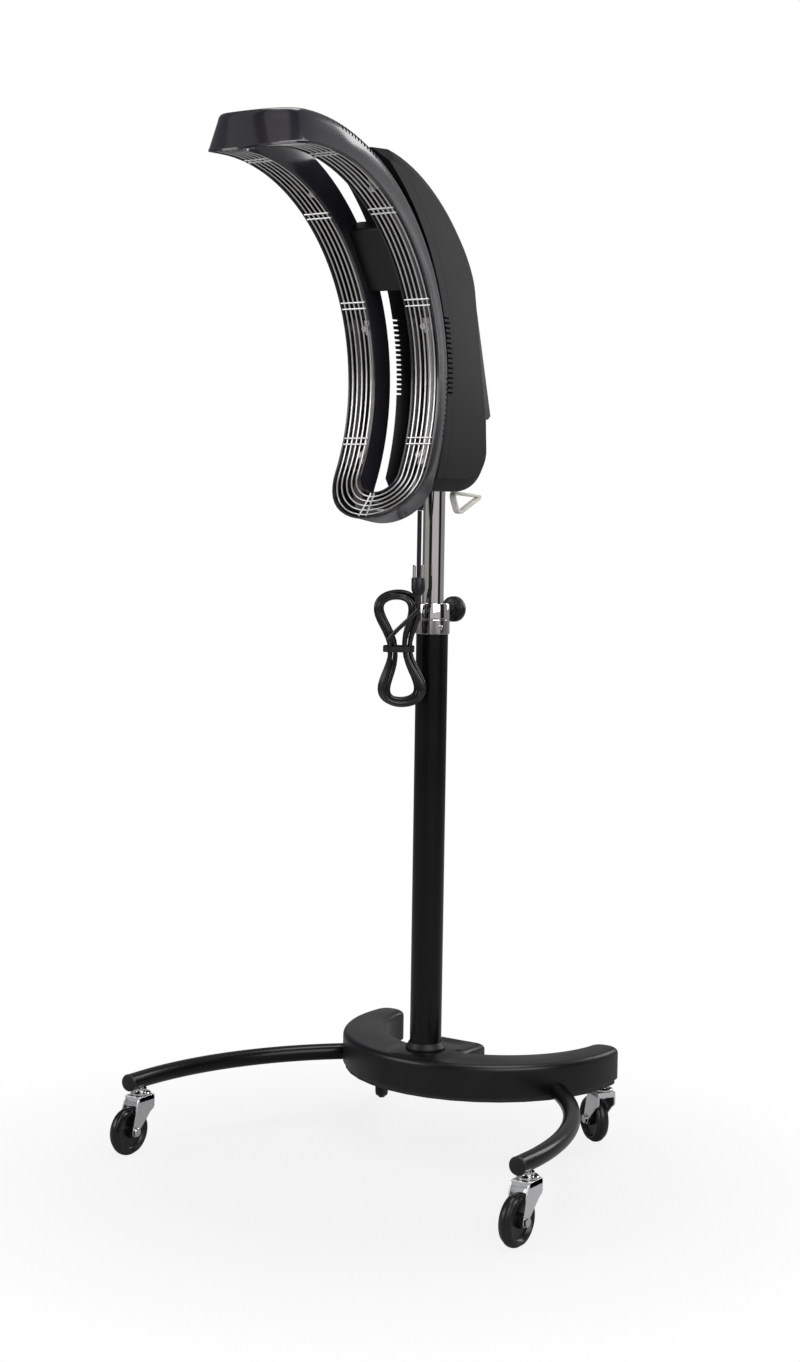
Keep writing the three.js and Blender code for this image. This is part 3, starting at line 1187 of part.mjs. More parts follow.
function buildCord() {
  const glandTip = HOUSING_BOTTOM - GLAND_LENGTH;
  const flange = HOUSING_BOTTOM - SEAT_GAP;
  piece("cord_gland", revolve([
    [0, glandTip], [CORD_RADIUS + 1, glandTip], [GLAND_RADIUS - 1.5, flange - 6], [GLAND_RADIUS, flange - 5],
    [GLAND_RADIUS, flange], [GLAND_STEM_RADIUS, flange], [GLAND_STEM_RADIUS, HOUSING_BOTTOM + 9],
    [0, HOUSING_BOTTOM + 9],
  ], 14).translate(0, GLAND_Y, 0), "blackPlastic");
  const path = hankPath();
  const gap = selfGap(path);
  piece("cord_hank", tubeThrough(path, () => CORD_RADIUS, 6), "cord");

  const first = path[0];
  const backwards = onwards(path[1], first, 2 * CORD_RADIUS + SEAT_GAP);
  const lead = cordTube("cord_lead", [
    new THREE.Vector3(0, GLAND_Y, glandTip - SEAT_GAP),
    new THREE.Vector3(0, GLAND_Y, glandTip - 20),
    new THREE.Vector3(0, GLAND_Y, HANK_Z + HANK_REACH),
    onwards(path[1], first, 5 * CORD_RADIUS),
    backwards,
  ]);
  const last = path.length - 1;
  const plugFoot = inHank(PLUG_ACROSS, PLUG_TOWARD, PLUG_UP);
  const tail = cordTube("cord_tail", [
    onwards(path[last - 1], path[last], 2 * CORD_RADIUS + SEAT_GAP),
    onwards(path[last - 1], path[last], 5 * CORD_RADIUS),
    inHank(PLUG_ACROSS, PLUG_TOWARD, PLUG_UP - 8),
    inHank(PLUG_ACROSS, PLUG_TOWARD, PLUG_UP - SEAT_GAP),
  ]);
  const total = gap.length + lead + tail;
  console.log(`hank: least gap to itself ${gap.least.toFixed(2)} mm; cord in all ${total.toFixed(0)} mm`);

  const pins = [-1, 1].map((side) => {
    const pin = rod(PIN_RADIUS, PLUG_LENGTH - 3, PLUG_LENGTH + PIN_LENGTH, 10);
    return solid(pin.translate((side * PIN_SPACING) / 2, 0, 0));
  });
  const body = solid(revolve([
    [0, 0], [CORD_RADIUS + 1.5, 0], [CORD_RADIUS + 3, PLUG_LENGTH * 0.35], [PLUG_RADIUS, PLUG_LENGTH * 0.5],
    [PLUG_RADIUS, PLUG_LENGTH], [0, PLUG_LENGTH],
  ], 16));
  const plug = surface(body.add(pins[0]).add(pins[1]));
  plug.rotateZ(radians(HANK_TURN));
  piece("mains_plug", plug.translate(plugFoot.x, plugFoot.y, plugFoot.z), "blackPlastic");

  const halfWide = HANK_WAIST + CORD_RADIUS + TIE_CLEARANCE;
  const halfDeep = (HANK_LAYERS / 2 + 0.5) * LAYER_PITCH + CORD_RADIUS + TIE_CLEARANCE;
  const wideOut = halfWide + TIE_WALL;
  const deepOut = halfDeep + TIE_WALL;
  const band = box([-wideOut, -deepOut, -TIE_LENGTH / 2], [wideOut, deepOut, TIE_LENGTH / 2]);
  const hollow = box([-halfWide, -halfDeep, -TIE_LENGTH], [halfWide, halfDeep, TIE_LENGTH]);
  const tie = surface(solid(band).subtract(solid(hollow)));
  tie.rotateZ(radians(HANK_TURN));
  piece("cord_tie", tie.translate(HANK_X, HANK_Y, HANK_Z), "blackPlastic");
}

buildBase();
buildLegs();
buildCasters();
buildColumn();
buildClamp();
buildMast();
buildLoopShell();
buildReflector();
buildGuard();
buildLamps();
buildHub();
buildHousing();
buildClampBlock();
buildPanel();
buildHook();
buildCord();

// Centres the whole over its footprint, the cord left out.
object.updateMatrixWorld(true);
const footprint = new THREE.Box3();
for (const part of object.children) {
  if (!/^(cord_|mains_plug)/.test(part.name)) {
    footprint.expandByObject(part, true);
  }
}
const centre = footprint.getCenter(new THREE.Vector3());
for (const part of object.children) {
  part.position.x -= centre.x;
  part.position.y -= centre.y;
}
object.updateMatrixWorld(true);

export default object;
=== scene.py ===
import json
import math

import bmesh
import bpy
from mathutils import Matrix, Vector


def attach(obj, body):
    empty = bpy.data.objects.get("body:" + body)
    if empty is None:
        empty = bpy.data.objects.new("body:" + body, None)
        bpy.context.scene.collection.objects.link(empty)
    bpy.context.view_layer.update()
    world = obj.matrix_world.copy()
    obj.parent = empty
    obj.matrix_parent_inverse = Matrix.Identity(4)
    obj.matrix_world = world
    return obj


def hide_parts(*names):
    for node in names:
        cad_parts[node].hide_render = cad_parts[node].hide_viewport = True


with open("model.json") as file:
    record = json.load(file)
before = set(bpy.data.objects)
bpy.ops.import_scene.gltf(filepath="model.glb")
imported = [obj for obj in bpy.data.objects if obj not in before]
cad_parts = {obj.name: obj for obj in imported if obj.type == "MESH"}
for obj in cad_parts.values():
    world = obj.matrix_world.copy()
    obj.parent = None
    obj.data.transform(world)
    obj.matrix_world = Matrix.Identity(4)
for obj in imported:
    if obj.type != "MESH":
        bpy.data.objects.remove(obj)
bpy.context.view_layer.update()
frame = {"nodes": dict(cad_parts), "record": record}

# Lengths are written in millimetres about the column's axis, with the floor at z = 0,
# and are turned into metres in the shared frame when a mesh is made.
MM = 0.001
COLUMN_Y = 121.86


def place(x, y, z):
    return Vector((x * MM, (y + COLUMN_Y) * MM, z * MM))


# Camera: fitted to the photograph, whose sizes are in pixels
PHOTO_WIDE, PHOTO_HIGH = 800, 1362
FOCAL, MIDDLE_X = 2131.3, 431.4
HEADING, PITCH, ROLL = math.radians(33.44), math.radians(4.35), math.radians(0.94)
CAMERA_AWAY, CAMERA_UP = 3129.6, 942
SENSOR = 36


def make_camera():
    back = Vector((math.sin(HEADING), -math.cos(HEADING), 0))
    stand = back * CAMERA_AWAY + Vector((0, 0, CAMERA_UP))
    ahead = back * -math.cos(PITCH) - Vector((0, 0, math.sin(PITCH)))
    right = Vector((math.cos(HEADING), math.sin(HEADING), 0))
    up = right.cross(ahead)
    right = right * math.cos(ROLL) + up * math.sin(ROLL)
    ahead = (ahead + right * ((PHOTO_WIDE / 2 - MIDDLE_X) / FOCAL)).normalized()
    right = (right - ahead * right.dot(ahead)).normalized()
    up = right.cross(ahead)
    data = bpy.data.cameras.new("camera")
    data.sensor_fit = "VERTICAL"
    data.sensor_height = SENSOR
    data.lens = FOCAL / PHOTO_HIGH * SENSOR
    data.clip_end = 50
    camera = bpy.data.objects.new("camera", data)
    spot = place(*stand)
    camera.matrix_world = Matrix((
        (right.x, up.x, -ahead.x, spot.x),
        (right.y, up.y, -ahead.y, spot.y),
        (right.z, up.z, -ahead.z, spot.z),
        (0, 0, 0, 1),
    ))
    bpy.context.collection.objects.link(camera)
    bpy.context.scene.camera = camera


# Lights in metres and watts: place, aim, width and height, power
LIGHTS = {
    "key": ((-2.3, -2.7, 2.1), (0, 0, 0.9), (2.0, 1.8), 34),
    "fill": ((3.2, -1.7, 2.75), (0, -0.3, 1.3), (3.4, 2.4), 70),
    "top": ((0.2, 0.4, 3.6), (0, 0, 0.6), (1.6, 1.6), 40),
    "rim": ((1.2, 3.2, 2.2), (0, 0, 1.0), (1.0, 2.0), 28),
}

# The room that shiny pieces mirror: wall colours by heading, from 0 to 1 round the circle
DARK, DIM, GREY = (0.02, 0.02, 0.02), (0.2, 0.2, 0.23), (0.5, 0.5, 0.5)
WARM, PALE = (0.62, 0.6, 0.54), (0.95, 0.9, 0.92)
WALLS = [
    (0.04, DIM), (0.065, WARM), (0.215, WARM), (0.232, DARK), (0.29, DARK), (0.305, PALE),
    (0.48, PALE), (0.505, DARK), (0.565, DARK), (0.585, GREY), (0.88, GREY), (0.91, DIM),
]
ROOM_STRENGTH = 0.6


def area_light(name, spot, target, size, power):
    data = bpy.data.lights.new(name, "AREA")
    data.shape = "RECTANGLE"
    data.size, data.size_y = size
    data.energy = power
    lamp = bpy.data.objects.new(name, data)
    lamp.location = spot
    lamp.rotation_euler = (Vector(target) - Vector(spot)).to_track_quat("-Z", "Y").to_euler()
    bpy.context.collection.objects.link(lamp)


def make_light():
    for name, row in LIGHTS.items():
        area_light(name, *row)
    world = bpy.data.worlds.new("studio")
    bpy.context.scene.world = world
    world.use_nodes = True
    tree = world.node_tree
    tree.nodes.clear()
    out = tree.nodes.new("ShaderNodeOutputWorld")
    mix = tree.nodes.new("ShaderNodeMixShader")
    room = tree.nodes.new("ShaderNodeBackground")
    room.inputs["Strength"].default_value = ROOM_STRENGTH
    way = tree.nodes.new("ShaderNodeTexCoord")
    circle = tree.nodes.new("ShaderNodeTexGradient")
    circle.gradient_type = "RADIAL"
    walls = tree.nodes.new("ShaderNodeValToRGB")
    ramp = walls.color_ramp
    for end in ramp.elements:
        end.color = (*DIM, 1)
    for spot, colour in WALLS:
        ramp.elements.new(spot).color = (*colour, 1)
    tree.links.new(way.outputs["Generated"], circle.inputs["Vector"])
    tree.links.new(circle.outputs["Fac"], walls.inputs["Fac"])
    tree.links.new(walls.outputs["Color"], room.inputs["Color"])
    white = tree.nodes.new("ShaderNodeBackground")
    white.inputs["Color"].default_value = (1, 1, 1, 1)
    white.inputs["Strength"].default_value = 1.0
    path = tree.nodes.new("ShaderNodeLightPath")
    clear = tree.nodes.new("ShaderNodeMath")
    clear.operation = "MAXIMUM"
    tree.links.new(path.outputs["Is Camera Ray"], clear.inputs[0])
    tree.links.new(path.outputs["Is Transmission Ray"], clear.inputs[1])
    tree.links.new(clear.outputs[0], mix.inputs[0])
    tree.links.new(room.outputs[0], mix.inputs[1])
    tree.links.new(white.outputs[0], mix.inputs[2])
    tree.links.new(mix.outputs[0], out.inputs["Surface"])


# Floor: grey to the light, and to the camera a white that grows with the distance from the object
FLOOR_HALF = 14
FLOOR_GREY = 0.45
WHITE_FROM, WHITE_TO = 0.3, 0.75
WHITE_NEAR, WHITE_FAR = 0.84, 1.0


def make_floor():
    mesh = bpy.data.meshes.new("floor")
    corners = [(x * FLOOR_HALF, y * FLOOR_HALF, 0) for x, y in ((-1, -1), (1, -1), (1, 1), (-1, 1))]
    mesh.from_pydata(corners, [], [(0, 1, 2, 3)])
    floor = bpy.data.objects.new("floor", mesh)
    bpy.context.collection.objects.link(floor)
    material = bpy.data.materials.new("pale_floor")
    material.use_nodes = True
    tree = material.node_tree
    tree.nodes.clear()
    out = tree.nodes.new("ShaderNodeOutputMaterial")
    matt = tree.nodes.new("ShaderNodeBsdfDiffuse")
    matt.inputs["Color"].default_value = (FLOOR_GREY, FLOOR_GREY, FLOOR_GREY, 1)
    glow = tree.nodes.new("ShaderNodeEmission")
    glow.inputs["Color"].default_value = (1, 1, 1, 1)
    mix = tree.nodes.new("ShaderNodeMixShader")
    path = tree.nodes.new("ShaderNodeLightPath")
    where = tree.nodes.new("ShaderNodeNewGeometry")
    away = tree.nodes.new("ShaderNodeVectorMath")
    away.operation = "LENGTH"
    fade = tree.nodes.new("ShaderNodeMapRange")
    fade.inputs["From Min"].default_value = WHITE_FROM
    fade.inputs["From Max"].default_value = WHITE_TO
    fade.inputs["To Min"].default_value = WHITE_NEAR
    fade.inputs["To Max"].default_value = WHITE_FAR
    share = tree.nodes.new("ShaderNodeMath")
    share.operation = "MULTIPLY"
    tree.links.new(where.outputs["Position"], away.inputs[0])
    tree.links.new(away.outputs["Value"], fade.inputs["Value"])
    tree.links.new(fade.outputs["Result"], share.inputs[1])
    tree.links.new(path.outputs["Is Camera Ray"], share.inputs[0])
    tree.links.new(share.outputs[0], mix.inputs[0])
    tree.links.new(matt.outputs[0], mix.inputs[1])
    tree.links.new(glow.outputs[0], mix.inputs[2])
    tree.links.new(mix.outputs[0], out.inputs["Surface"])
    mesh.materials.append(material)


# Materials
COAT_ROUGHNESS = 0.08
SMOOTHEST = 0.02
SLOW_SCALE = 9
NOISE_LOW, NOISE_HIGH = 0.3, 0.7
GRAIN_HEIGHT = 0.0004


def finish(
    name, colour, rough, metal=0.0, grain=900, bump=0.05, spread=0.06, coat=0.0, shade=0.25, shine=0.5,
):
    """A moulded or metal surface: fine grain in the bump, slow changes in the gloss and the colour."""
    material = bpy.data.materials.new(name)
    material.use_nodes = True
    tree = material.node_tree
    body = tree.nodes["Principled BSDF"]
    body.inputs["Metallic"].default_value = metal
    body.inputs["Coat Weight"].default_value = coat
    body.inputs["Coat Roughness"].default_value = COAT_ROUGHNESS
    body.inputs["Specular IOR Level"].default_value = shine
    where = tree.nodes.new("ShaderNodeTexCoord")
    spot = where.outputs["Object"]
    fine = tree.nodes.new("ShaderNodeTexNoise")
    fine.inputs["Scale"].default_value = grain
    fine.inputs["Detail"].default_value = 3
    slow = tree.nodes.new("ShaderNodeTexNoise")
    slow.inputs["Scale"].default_value = SLOW_SCALE
    slow.inputs["Detail"].default_value = 4
    for texture in (fine, slow):
        tree.links.new(spot, texture.inputs["Vector"])
    gloss = tree.nodes.new("ShaderNodeMapRange")
    gloss.inputs["From Min"].default_value = NOISE_LOW
    gloss.inputs["From Max"].default_value = NOISE_HIGH
    gloss.inputs["To Min"].default_value = max(rough - spread, SMOOTHEST)
    gloss.inputs["To Max"].default_value = rough + spread
    tree.links.new(slow.outputs["Fac"], gloss.inputs["Value"])
    tree.links.new(gloss.outputs["Result"], body.inputs["Roughness"])
    ramp = tree.nodes.new("ShaderNodeValToRGB")
    low, high = ramp.color_ramp.elements
    low.position, high.position = NOISE_LOW, NOISE_HIGH
    low.color = [c * (1 - shade) for c in colour] + [1]
    high.color = [min(c * (1 + shade), 1) for c in colour] + [1]
    tree.links.new(slow.outputs["Fac"], ramp.inputs["Fac"])
    tree.links.new(ramp.outputs["Color"], body.inputs["Base Color"])
    relief = tree.nodes.new("ShaderNodeBump")
    relief.inputs["Strength"].default_value = bump
    relief.inputs["Distance"].default_value = GRAIN_HEIGHT
    tree.links.new(fine.outputs["Fac"], relief.inputs["Height"])
    tree.links.new(relief.outputs["Normal"], body.inputs["Normal"])
    return material


skins = {
    "gloss_black": finish("satin_black_moulding", (0.003, 0.003, 0.0036), 0.34, bump=0.05, shine=0.45),
    "black_paint": finish(
        "black_enamel", (0.003, 0.003, 0.0034), 0.24, grain=300, bump=0.015, coat=0.1, shine=0.24,
    ),
    "cast_iron": finish("painted_casting", (0.02, 0.02, 0.021), 0.6, grain=220, bump=0.4),
    "chrome": finish("polished_chrome", (0.72, 0.71, 0.71), 0.07, 1.0, bump=0.01, spread=0.03, shade=0.04),
    "zinc": finish("bright_zinc", (0.86, 0.88, 0.91), 0.3, 1.0, grain=400, bump=0.05, shade=0.08),
    "tyre": finish("wheel_rubber", (0.006, 0.006, 0.0065), 0.3, grain=500, bump=0.12),
    "black_plastic": finish("matt_black_plastic", (0.005, 0.005, 0.0055), 0.42, grain=1400, bump=0.15),
    "grey_plastic": finish(
        "dark_grey_housing", (0.0045, 0.0042, 0.0056), 0.34, grain=1500, bump=0.08, shade=0.12, shine=0.15,
    ),
    "loop_plastic": finish("loop_gloss_grey", (0.024, 0.023, 0.03), 0.16, bump=0.008, coat=0.3, shade=0.12),
    "ivory": finish("ivory_plastic", (0.78, 0.76, 0.7), 0.42, grain=900, bump=0.05, shade=0.05),
    # The reflector's aluminium gets a dark grey metal colour: painted shade, standing in for the shade and
    # dark reflections inside the trough.
    "aluminium": finish("reflector_sheet_painted_shade", (0.2, 0.2, 0.205), 0.16, 1.0, grain=160, bump=0.06, shade=0.1),
    "wire": finish("guard_wire", (0.95, 0.95, 0.95), 0.3, 1.0, bump=0.01, spread=0.03, shade=0.03),
    "quartz": finish("frosted_quartz", (0.82, 0.8, 0.76), 0.24, bump=0.03, coat=0.3, shade=0.06),
    "ceramic": finish("lamp_ceramic", (0.94, 0.93, 0.9), 0.22, bump=0.03, coat=0.6, shade=0.05),
    "board": finish("board_laminate", (0.015, 0.075, 0.032), 0.45, bump=0.08),
    "display": finish("display_glass", (0.006, 0.008, 0.01), 0.07, bump=0.01, coat=0.5),
    "cord": finish("cord_sheath", (0.005, 0.005, 0.0055), 0.24, grain=1600, bump=0.05, coat=0.3),
}


# Mesh helpers: a shape is a list of points, in millimetres about the column, and a list of faces
WELD = 1e-6
QUARTER = math.pi / 2
SIDES = (("left", -1), ("right", 1))


def at(x, y, z):
    return Matrix.Translation((x, y, z))


def spin(angle, axis):
    return Matrix.Rotation(angle, 4, axis)


def raw(name, shape):
    """A plain object with welded corners and outward faces, not yet in the scene."""
    points, faces = shape
    mesh = bpy.data.meshes.new(name)
    mesh.from_pydata([place(*point) for point in points], [], faces)
    shaped = bmesh.new()
    shaped.from_mesh(mesh)
    bmesh.ops.remove_doubles(shaped, verts=shaped.verts, dist=WELD)
    bmesh.ops.recalc_face_normals(shaped, faces=shaped.faces)
    shaped.to_mesh(mesh)
    shaped.free()
    return bpy.data.objects.new(name, mesh)


def carve(name, shape, steps):
    """A shape changed by each (operation, other shape) in turn."""
    piece = raw(name, shape)
    bpy.context.collection.objects.link(piece)
    for operation, other in steps:
        tool = raw("tool", other)
        bpy.context.collection.objects.link(tool)
        change = piece.modifiers.new("change", "BOOLEAN")
        change.operation = operation
        change.solver = "EXACT"
        change.object = tool
        graph = bpy.context.evaluated_depsgraph_get()
        result = bpy.data.meshes.new_from_object(piece.evaluated_get(graph))
        piece.modifiers.clear()
        piece.data = result
        bpy.data.objects.remove(tool)
    return piece


def dress(piece, slot, body, replaces=(), sharp=32, bevel=0.0, skin=None):
    """Gives a piece its skin and edges, and its place among the frame's bodies."""
    mesh = piece.data
    mesh.materials.clear()
    mesh.materials.append(skins[skin or slot])
    mesh.shade_smooth()
    mesh.set_sharp_from_angle(angle=math.radians(sharp))
    if piece.name not in bpy.context.collection.objects:
        bpy.context.collection.objects.link(piece)
    if bevel:
        edge = piece.modifiers.new("edge", "BEVEL")
        edge.width = bevel * MM
        edge.segments = 2
        edge.limit_method = "ANGLE"
        edge.angle_limit = math.radians(sharp)
        edge.harden_normals = True
    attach(piece, body)
    if replaces:
        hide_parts(*replaces)
    return piece


def build(name, shape, *look, **more):
    return dress(raw(name, shape), *look, **more)


def loft(rings, closed=False, caps=True):
    """Joins rings of points into one skin: closed joins the last ring to the first."""
    count = len(rings[0])
    points = [point for ring in rings for point in ring]
    faces = []
    for i in range(len(rings) if closed else len(rings) - 1):
        after = (i + 1) % len(rings)
        for j in range(count):
            k = (j + 1) % count
            faces.append((i * count + j, i * count + k, after * count + k, after * count + j))
    if caps and not closed:
        last = (len(rings) - 1) * count
        faces.append(tuple(range(count - 1, -1, -1)))
        faces.append(tuple(range(last, last + count)))
    return points, faces


def revolve(profile, facets, closed=False):
    """Turns (radius, height) points about the Z axis."""
    rings = []
    for radius, height in profile + (profile[:1] if closed else []):
        ring = []
        for k in range(facets):
            angle = 2 * math.pi * k / facets
            ring.append((radius * math.cos(angle), radius * math.sin(angle), height))
        rings.append(ring)
    return loft(rings, caps=False)


def rod(radius, low, high, facets=48):
    return revolve([(0, low), (radius, low), (radius, high), (0, high)], facets)


def block(low, high):
    points = [(x, y, z) for z in (low[2], high[2]) for y in (low[1], high[1]) for x in (low[0], high[0])]
    return points, [(0, 2, 3, 1), (4, 5, 7, 6), (0, 1, 5, 4), (1, 3, 7, 5), (3, 2, 6, 7), (2, 0, 4, 6)]


def extrude_x(outline, low, high):
    return loft([[(x, y, z) for y, z in outline] for x in (low, high)])


def moved(shape, matrix):
    points, faces = shape
    return [tuple(matrix @ Vector(point)) for point in points], faces


def joined(*shapes):
    points, faces = [], []
    for more, tied in shapes:
        shift = len(points)
        points += more
        faces += [tuple(k + shift for k in face) for face in tied]
    return points, faces


def tube(path, radius, sides):
    """A round tube through the points, with its rings turned as little as possible."""
    path = [Vector(point) for point in path]
    angles = [2 * math.pi * k / sides for k in range(sides)]
    rings, side = [], None
    for i, point in enumerate(path):
        along = (path[min(i + 1, len(path) - 1)] - path[max(i - 1, 0)]).normalized()
        if side is None:
            side = along.orthogonal().normalized()
        side = (side - along * side.dot(along)).normalized()
        other = along.cross(side)
        rings.append([tuple(point + radius * (side * math.cos(a) + other * math.sin(a))) for a in angles])
    return loft(rings)


def smooth_line(points, steps):
    """A curve through the points, with even steps in each stretch."""
    points = [Vector(point) for point in points]
    line = []
    for i in range(len(points) - 1):
        a, b = points[i], points[i + 1]
        before = points[i - 1] if i else a * 2 - b
        after = points[i + 2] if i + 2 < len(points) else b * 2 - a
        span = (b - a).length
        into = (b - before) / (span + (a - before).length) * span
        outof = (after - a) / ((after - b).length + span) * span
        for k in range(steps):
            t = k / steps
            line.append(
                a * (2 * t**3 - 3 * t**2 + 1) + into * (t**3 - 2 * t**2 + t)
                + b * (3 * t**2 - 2 * t**3) + outof * (t**3 - t**2)
            )
    return line + [points[-1]]


def bend(a, b, c, shares):
    """Places on a curve from a to c that turns towards b."""
    return [a * (1 - t) ** 2 + b * 2 * t * (1 - t) + c * t * t for t in shares]


def rounded_square(count, power):
    """Places round a square with soft corners, whose sides are one unit from its middle."""
    spots = []
    for k in range(count):
        angle = 2 * math.pi * (k + 0.5) / count
        c, s = math.cos(angle), math.sin(angle)
        flat = (abs(c) ** power + abs(s) ** power) ** (-1 / power)
        spots.append((c * flat, s * flat))
    return spots


# Cord: one run from the gland, down into the hank and up to the plug
CORD = 3.25
GLAND_Y, GLAND_TIP = -38, 954
GLAND_RIBS = [(4.6 + 0.09 * k + (0.9 if k % 4 < 2 else 0), GLAND_TIP + 1.1 * k) for k in range(20)]
GLAND_TOP = [(7.5, 976.6), (7.5, 981.4), (5, 981.7), (0, 981.7)]
JOINT_GAP = 0.3
HANK = Vector((-12, -69, 754))
HANK_HEADING = math.radians(33.4)
HANK_LOBE, HANK_REACH, HANK_WAIST = 44, 84, 16.2
WAIST_SPREAD, LOBE_SQUARE = 0.42, 1.2
HANK_TURNS, HANK_START, HANK_STEPS = 5.54, math.radians(76), 400
PHASE_STEP = 0.01
HANK_PITCH, HANK_LEAN = 7.8, math.radians(2)
LAYER_TURNS, LAYER_PITCH, LAYERS = 1.5, 7.4, 4
# Turns over which the cord rises into the first layer, from one to the next, and out of the last
RISE_IN, RISE_HALF, RISE_OUT = (0.05, 0.45), 0.25, 0.4
NEAR_HANK, OFF_HANK = 6.5, 16
LEAD_DROP, PLUG_APPROACH = 20, 8
PLUG = (27, 2 * LAYER_PITCH + 11, 66)
PLUG_RIBS = [(4.6 + 0.5 * (k % 2), 1.2 * k) for k in range(11)]
PLUG_HEAD = [(6.8, 14), (8.6, 17), (9.7, 19.5), (10, 22), (10, 36), (9.2, 37.6), (8, 38), (0, 38)]
PLUG_PIN = [(0, 30), (2.4, 30), (2.4, 54.6), (1.6, 55.8), (0, 56)]
PIN_X = 6
TIE_RINGS = ((21.3, 23.6, -4), (22.7, 25, -4), (22.7, 25, 4), (21.3, 23.6, 4))
across_hank = Vector((math.cos(HANK_HEADING), math.sin(HANK_HEADING), 0))
out_of_hank = Vector((math.sin(HANK_HEADING), -math.cos(HANK_HEADING), 0))


def in_hank(across, out, up):
    return HANK + across_hank * across + out_of_hank * out + Vector((0, 0, up))


def ease(value, low, high):
    t = min(max((value - low) / (high - low), 0), 1)
    return t * t * (3 - 2 * t)


def hank_outline(phase):
    pinch = (1 - HANK_WAIST / HANK_LOBE) * math.exp(-((math.cos(phase) / WAIST_SPREAD) ** 2))
    up = HANK_REACH * math.tanh(LOBE_SQUARE * math.cos(phase)) / math.tanh(LOBE_SQUARE)
    return Vector((HANK_LOBE * math.sin(phase) * (1 - pinch), up))


def hank_point(turn):
    """A place on the winding: each layer spirals in or out, and the next one lies in front of it."""
    phase = 2 * math.pi * turn + HANK_START
    spot = hank_outline(phase)
    along = (hank_outline(phase + PHASE_STEP) - hank_outline(phase - PHASE_STEP)).normalized()
    layer = int(turn // LAYER_TURNS)
    inset = turn - LAYER_TURNS * layer if layer % 2 == 0 else LAYER_TURNS * (layer + 1) - turn
    inset *= HANK_PITCH
    level = ease(turn, *RISE_IN) - 1 + ease(turn, HANK_TURNS - RISE_OUT, HANK_TURNS)
    for k in range(1, LAYERS):
        level += ease(turn, LAYER_TURNS * k - RISE_HALF, LAYER_TURNS * k + RISE_HALF)
    lean = HANK_LEAN * (1 + min(max(level, 0), LAYERS - 1))
    x, up = spot.x + along.y * inset, spot.y - along.x * inset
    across = x * math.cos(lean) - up * math.sin(lean)
    rise = x * math.sin(lean) + up * math.cos(lean)
    return in_hank(across, (level - (LAYERS - 1) / 2) * LAYER_PITCH, rise)


def cord_path():
    winding = [hank_point(HANK_TURNS * k / HANK_STEPS) for k in range(HANK_STEPS + 1)]
    start = (winding[0] - winding[1]).normalized()
    end = (winding[-1] - winding[-2]).normalized()
    lead = smooth_line([
        (0, GLAND_Y, GLAND_TIP - JOINT_GAP), (0, GLAND_Y, GLAND_TIP - LEAD_DROP),
        (0, GLAND_Y, HANK.z + HANK_REACH),
        winding[0] + start * OFF_HANK, winding[0] + start * NEAR_HANK,
    ], 10)
    tail = smooth_line([
        winding[-1] + end * NEAR_HANK, winding[-1] + end * OFF_HANK,
        in_hank(PLUG[0], PLUG[1], PLUG[2] - PLUG_APPROACH), in_hank(*PLUG) - Vector((0, 0, JOINT_GAP)),
    ], 12)
    return [place(*point) for point in lead + winding + tail]


def make_plug():
    plug_frame = Matrix.Translation(in_hank(*PLUG)) @ spin(HANK_HEADING, "Z")
    body = revolve([(0, 0)] + PLUG_RIBS + PLUG_HEAD, 48)
    pins = [moved(revolve(PLUG_PIN, 24), at(x, 0, 0)) for x in (-PIN_X, PIN_X)]
    plug = build(
        "mains_plug_body", moved(body, plug_frame), "black_plastic", "head", ["mains_plug"], bevel=0.3,
    )
    blades = build(
        "mains_plug_pins", moved(joined(*pins), plug_frame), "black_plastic", "head", skin="chrome",
    )
    return plug, blades


def make_tie():
    tie_frame = Matrix.Translation(HANK) @ spin(HANK_HEADING, "Z")
    rings = [
        [(wide * c, deep * s, up) for c, s in rounded_square(48, 5)] for wide, deep, up in TIE_RINGS
    ]
    strap = moved(loft(rings, closed=True), tie_frame)
    return build("cord_tie_strap", strap, "black_plastic", "head", ["cord_tie"], bevel=0.5)


def make_gland():
    boot = revolve([(0, GLAND_TIP), (4.2, GLAND_TIP)] + GLAND_RIBS + GLAND_TOP, 40)
    build("cord_gland_boot", moved(boot, at(0, GLAND_Y, 0)), "black_plastic", "head", ["cord_gland"])


def make_cord():
    path = cord_path()
    data = bpy.data.curves.new("mains_cord", "CURVE")
    data.dimensions = "3D"
    data.bevel_depth = CORD * MM
    data.bevel_resolution = 4
    data.use_fill_caps = True
    line = data.splines.new("POLY")
    line.points.add(len(path) - 1)
    for point, spot in zip(line.points, path):
        point.co = (*spot, 1)
    cord = bpy.data.objects.new("mains_cord", data)
    data.materials.append(skins["cord"])
    bpy.context.collection.objects.link(cord)
    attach(cord, "head")
    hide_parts("cord_lead", "cord_hank", "cord_tail")
    plug, blades = make_plug()
    tie = make_tie()
    make_gland()


# Loop: a trough round two arms and two turns, bent on an arc; depth is measured out from the arc
ARC_Y, ARC_Z, ARC = -394.6, 1131.6, 283
LOW, HIGH = math.radians(-26.4), math.radians(91.5)
LOW_RUN, HIGH_RUN = ARC * LOW, ARC * HIGH
ARM, HALF, DEPTH = 54.5, 23.5, 46
OUTER_LEAN, INNER_LEAN, TURN_LEAN = 15, 3, 16
ARM_STEPS, TURN_STEPS = 44, 22
